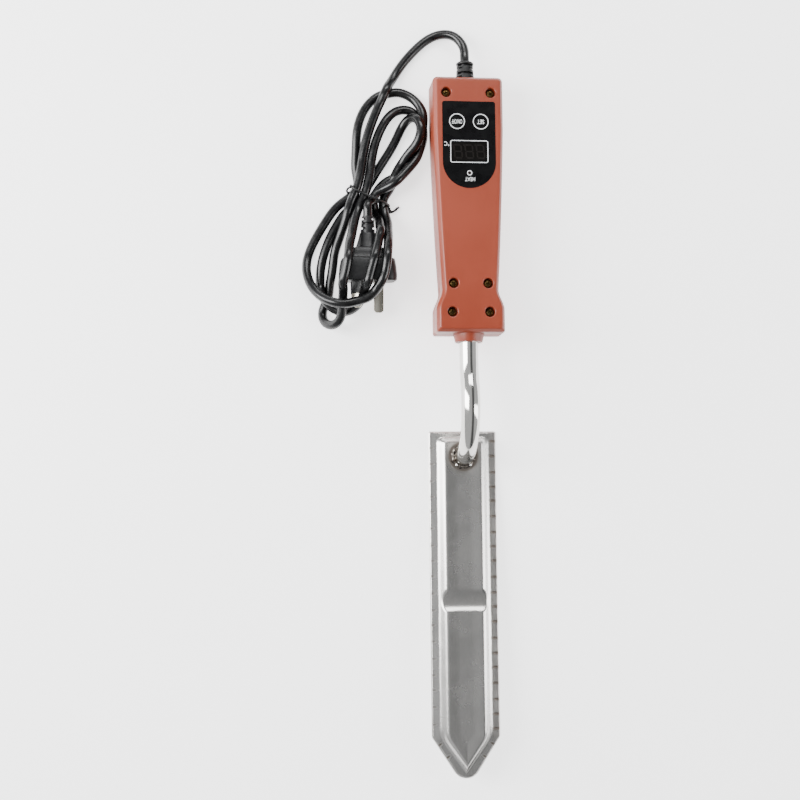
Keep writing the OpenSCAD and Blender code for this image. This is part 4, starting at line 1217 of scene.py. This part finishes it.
def keep_flat(ob, area):
    """Stop the shading of wide flat faces from being bent by the small fillets at their edges."""
    bm = bmesh.new()
    bm.from_mesh(ob.data)
    for edge in bm.edges:
        faces = edge.link_faces
        if len(faces) == 2 and max(f.calc_area() for f in faces) > area * MM * MM:
            if faces[0].normal.angle(faces[1].normal, 0) > 0.008:
                edge.smooth = False
    bm.to_mesh(ob.data)
    bm.free()


for name, flip, node in (("handle_front_shell", 1, "front_shell"), ("handle_back_shell", -1, "back_shell")):
    keep_flat(dress(shell(name, flip), "shell_plastic", [node], sharp=32), 12)

# ---- Shell screws: pan heads with a cross recess, seated in their counterbores

SCREW = [
    (0.01, -9.5), (0.5, -9.3), (1.25, -8), (1.25, SEAT_Z), (2.6, SEAT_Z), (2.75, 10.12), (2.75, 10.75),
    (2.6, 11.2), (2.2, 11.6), (1.5, 11.83), (0.7, 11.9), (0.01, 11.9),
]
# one arm of the cross, from its bottom up: height, half length and half width
CROSS_ARM = ((10.5, 0.7, 0.22), (11.2, 1.15, 0.28), (12.2, 1.6, 0.34))


def cross_arms(first_angle):
    """One slot in each screw head; every head is turned a little further than the last."""
    arms = Solid()
    for k, (x, s) in enumerate(SCREWS):
        a = math.radians(first_angle + 37 * k)
        u, v = np.array([math.cos(a), math.sin(a), 0]), np.array([-math.sin(a), math.cos(a), 0])
        rings = []
        for z, length, wide in CROSS_ARM:
            corners = ((1, 1), (-1, 1), (-1, -1), (1, -1))
            rings.append([np.array([x, s, z]) + u * length * i + v * wide * j for i, j in corners])
        arms.skin(rings, H)
    return arms


screws = Solid()
for x, s in SCREWS:
    screws.lathe(SCREW, (x, s, 0), H, sides=40)
screws = cut(screws.build("shell_screw_set"), *(cross_arms(a).build("slot") for a in (17, 107)))
dress(screws, "screw_brass", ["shell_screws"], sharp=30)

# ---- Panel printing: thin ink on the film, on the keys and round the window

INK, FILM_Z = 0.03, HALF_T
KEY_S, KEY_X, LAMP_S, WINDOW_S = 134.6, 7.6, 101.3, 115.1
FRAME_OUT, FRAME_IN = (24.3, 14.5, 1.4, 6), (23.3, 13.5, 0.95, 6)


def flat_ring(solid, x, s, r_in, r_out):
    low, high = FILM_Z, FILM_Z + INK
    profile = [(r_in, low), (r_in, high), (r_out, high), (r_out, low)]
    solid.lathe(profile, (x, s, 0), H, sides=72, loop=True)


def words(name, text, at, size, squeeze, body="knife"):
    """Raised ink lettering, read from the cord's side of the panel."""
    font = bpy.data.curves.new(name, "FONT")
    font.body, font.size, font.align_x, font.align_y = text, size, "CENTER", "CENTER"
    font.extrude, font.offset, font.resolution_u = INK / 2, 0.02, 4
    raw = placed(name, font)
    me = baked(raw)
    bpy.data.objects.remove(raw, do_unlink=True)
    co = np.empty(len(me.vertices) * 3)
    me.vertices.foreach_get("co", co)
    x, y, z = co.reshape(-1, 3).T
    moved = H(np.stack([at[0] - x * squeeze, at[1] - y, FILM_Z + INK / 2 + z], -1))
    me.vertices.foreach_set("co", moved.ravel())
    recalc(me)
    dress(placed(name, me), "panel_black", (), "ink_white", body, sharp=30)


def panel_marks():
    """The lamp's ring and the frame round the window."""
    marks = Solid()
    flat_ring(marks, 0, LAMP_S, 1.15, 1.65)
    low, high = FILM_Z, FILM_Z + INK
    edges = ((FRAME_OUT, low), (FRAME_OUT, high), (FRAME_IN, high), (FRAME_IN, low))
    marks.skin([[(x, WINDOW_S + y, z) for x, y in rounded(*outline)] for outline, z in edges], H, loop=True)
    return marks.build("panel_marks")


for key, side, label, size, squeeze in (("on_off", -1, "ON/OFF", 4.1, 0.45), ("set", 1, "SET", 4.0, 0.74)):
    ring = Solid()
    flat_ring(ring, side * KEY_X, KEY_S, 4.5, 5.02)
    dress(ring.build(key + "_ring"), "panel_black", (), "ink_white", key + "_button")
    words(key + "_label", label, (side * KEY_X, KEY_S), size, squeeze, key + "_button")
dress(panel_marks(), "panel_black", (), "ink_white", sharp=30)
words("heat_label", "HEAT", (0.3, LAMP_S - 3.9), 3.7, 0.72)
words("degree_label", "°C", (-14.35, WINDOW_S + 5.0), 3.9, 0.8)

# The lamp's smoked window, domed a little over the hole in the film
LENS_PROFILE = [(0.02, 12.8), (1.06, 12.8), (1.06, 13.9), (0.95, 13.99), (0.6, 14.04), (0.02, 14.06)]
lens = Solid().lathe(LENS_PROFILE, (0, LAMP_S, 0), H, sides=36)
dress(lens.build("heat_lamp_window"), "red_lens", (), "smoked_lens", sharp=40)

# ---- Three ghosted seven-segment digits on the window

DIGIT_W, DIGIT_H, DIGIT_PITCH, DIGIT_SLANT = 4.6, 8.4, 7.2, 0.12
SEGMENT_W, SEGMENT_GAP, POINT_R = 1.0, 0.6, 0.55
GHOST_Z = (FILM_Z + 0.002, FILM_Z + 0.012)


def segments():
    """Where each bar of one digit starts and ends: three across, then four upright."""
    w, h, gap = DIGIT_W / 2, DIGIT_H / 2, SEGMENT_GAP
    across = [((-w + gap, y), (w - gap, y)) for y in (-h, 0, h)]
    return across + [((x, y), (x, y + h - 2 * gap)) for x in (-w, w) for y in (-h + gap, gap)]


def digit_ghosts():
    ghosts = Solid()
    for cx in (-DIGIT_PITCH, 0, DIGIT_PITCH):
        for start, end in segments():
            a, b = np.array(start), np.array(end)
            u = (b - a) / math.hypot(*(b - a))
            tip, side = u * SEGMENT_W / 2, np.array([-u[1], u[0]]) * SEGMENT_W / 2
            bar = [a - tip, a - side, b - side, b + tip, b + side, a + side]
            ghosts.skin([[(cx + x - DIGIT_SLANT * y, WINDOW_S + y, z) for x, y in bar] for z in GHOST_Z], H)
        point = [(0.01, GHOST_Z[0]), (POINT_R, GHOST_Z[0]), (POINT_R, GHOST_Z[1]), (0.01, GHOST_Z[1])]
        ghosts.lathe(point, (cx - DIGIT_W / 2 - 1.1, WINDOW_S + DIGIT_H / 2, 0), H, sides=20)
    return ghosts.build("digit_ghosts")


dress(digit_ghosts(), "window", (), "segment_ghost", sharp=30)

# ---- The CAD nodes that stay, in their own finishes

for part in frame["record"]["subparts"]:
    node = frame["nodes"][part["node"]]
    node.data.materials.clear()
    node.data.materials.append(finishes[part["material_slot"]])
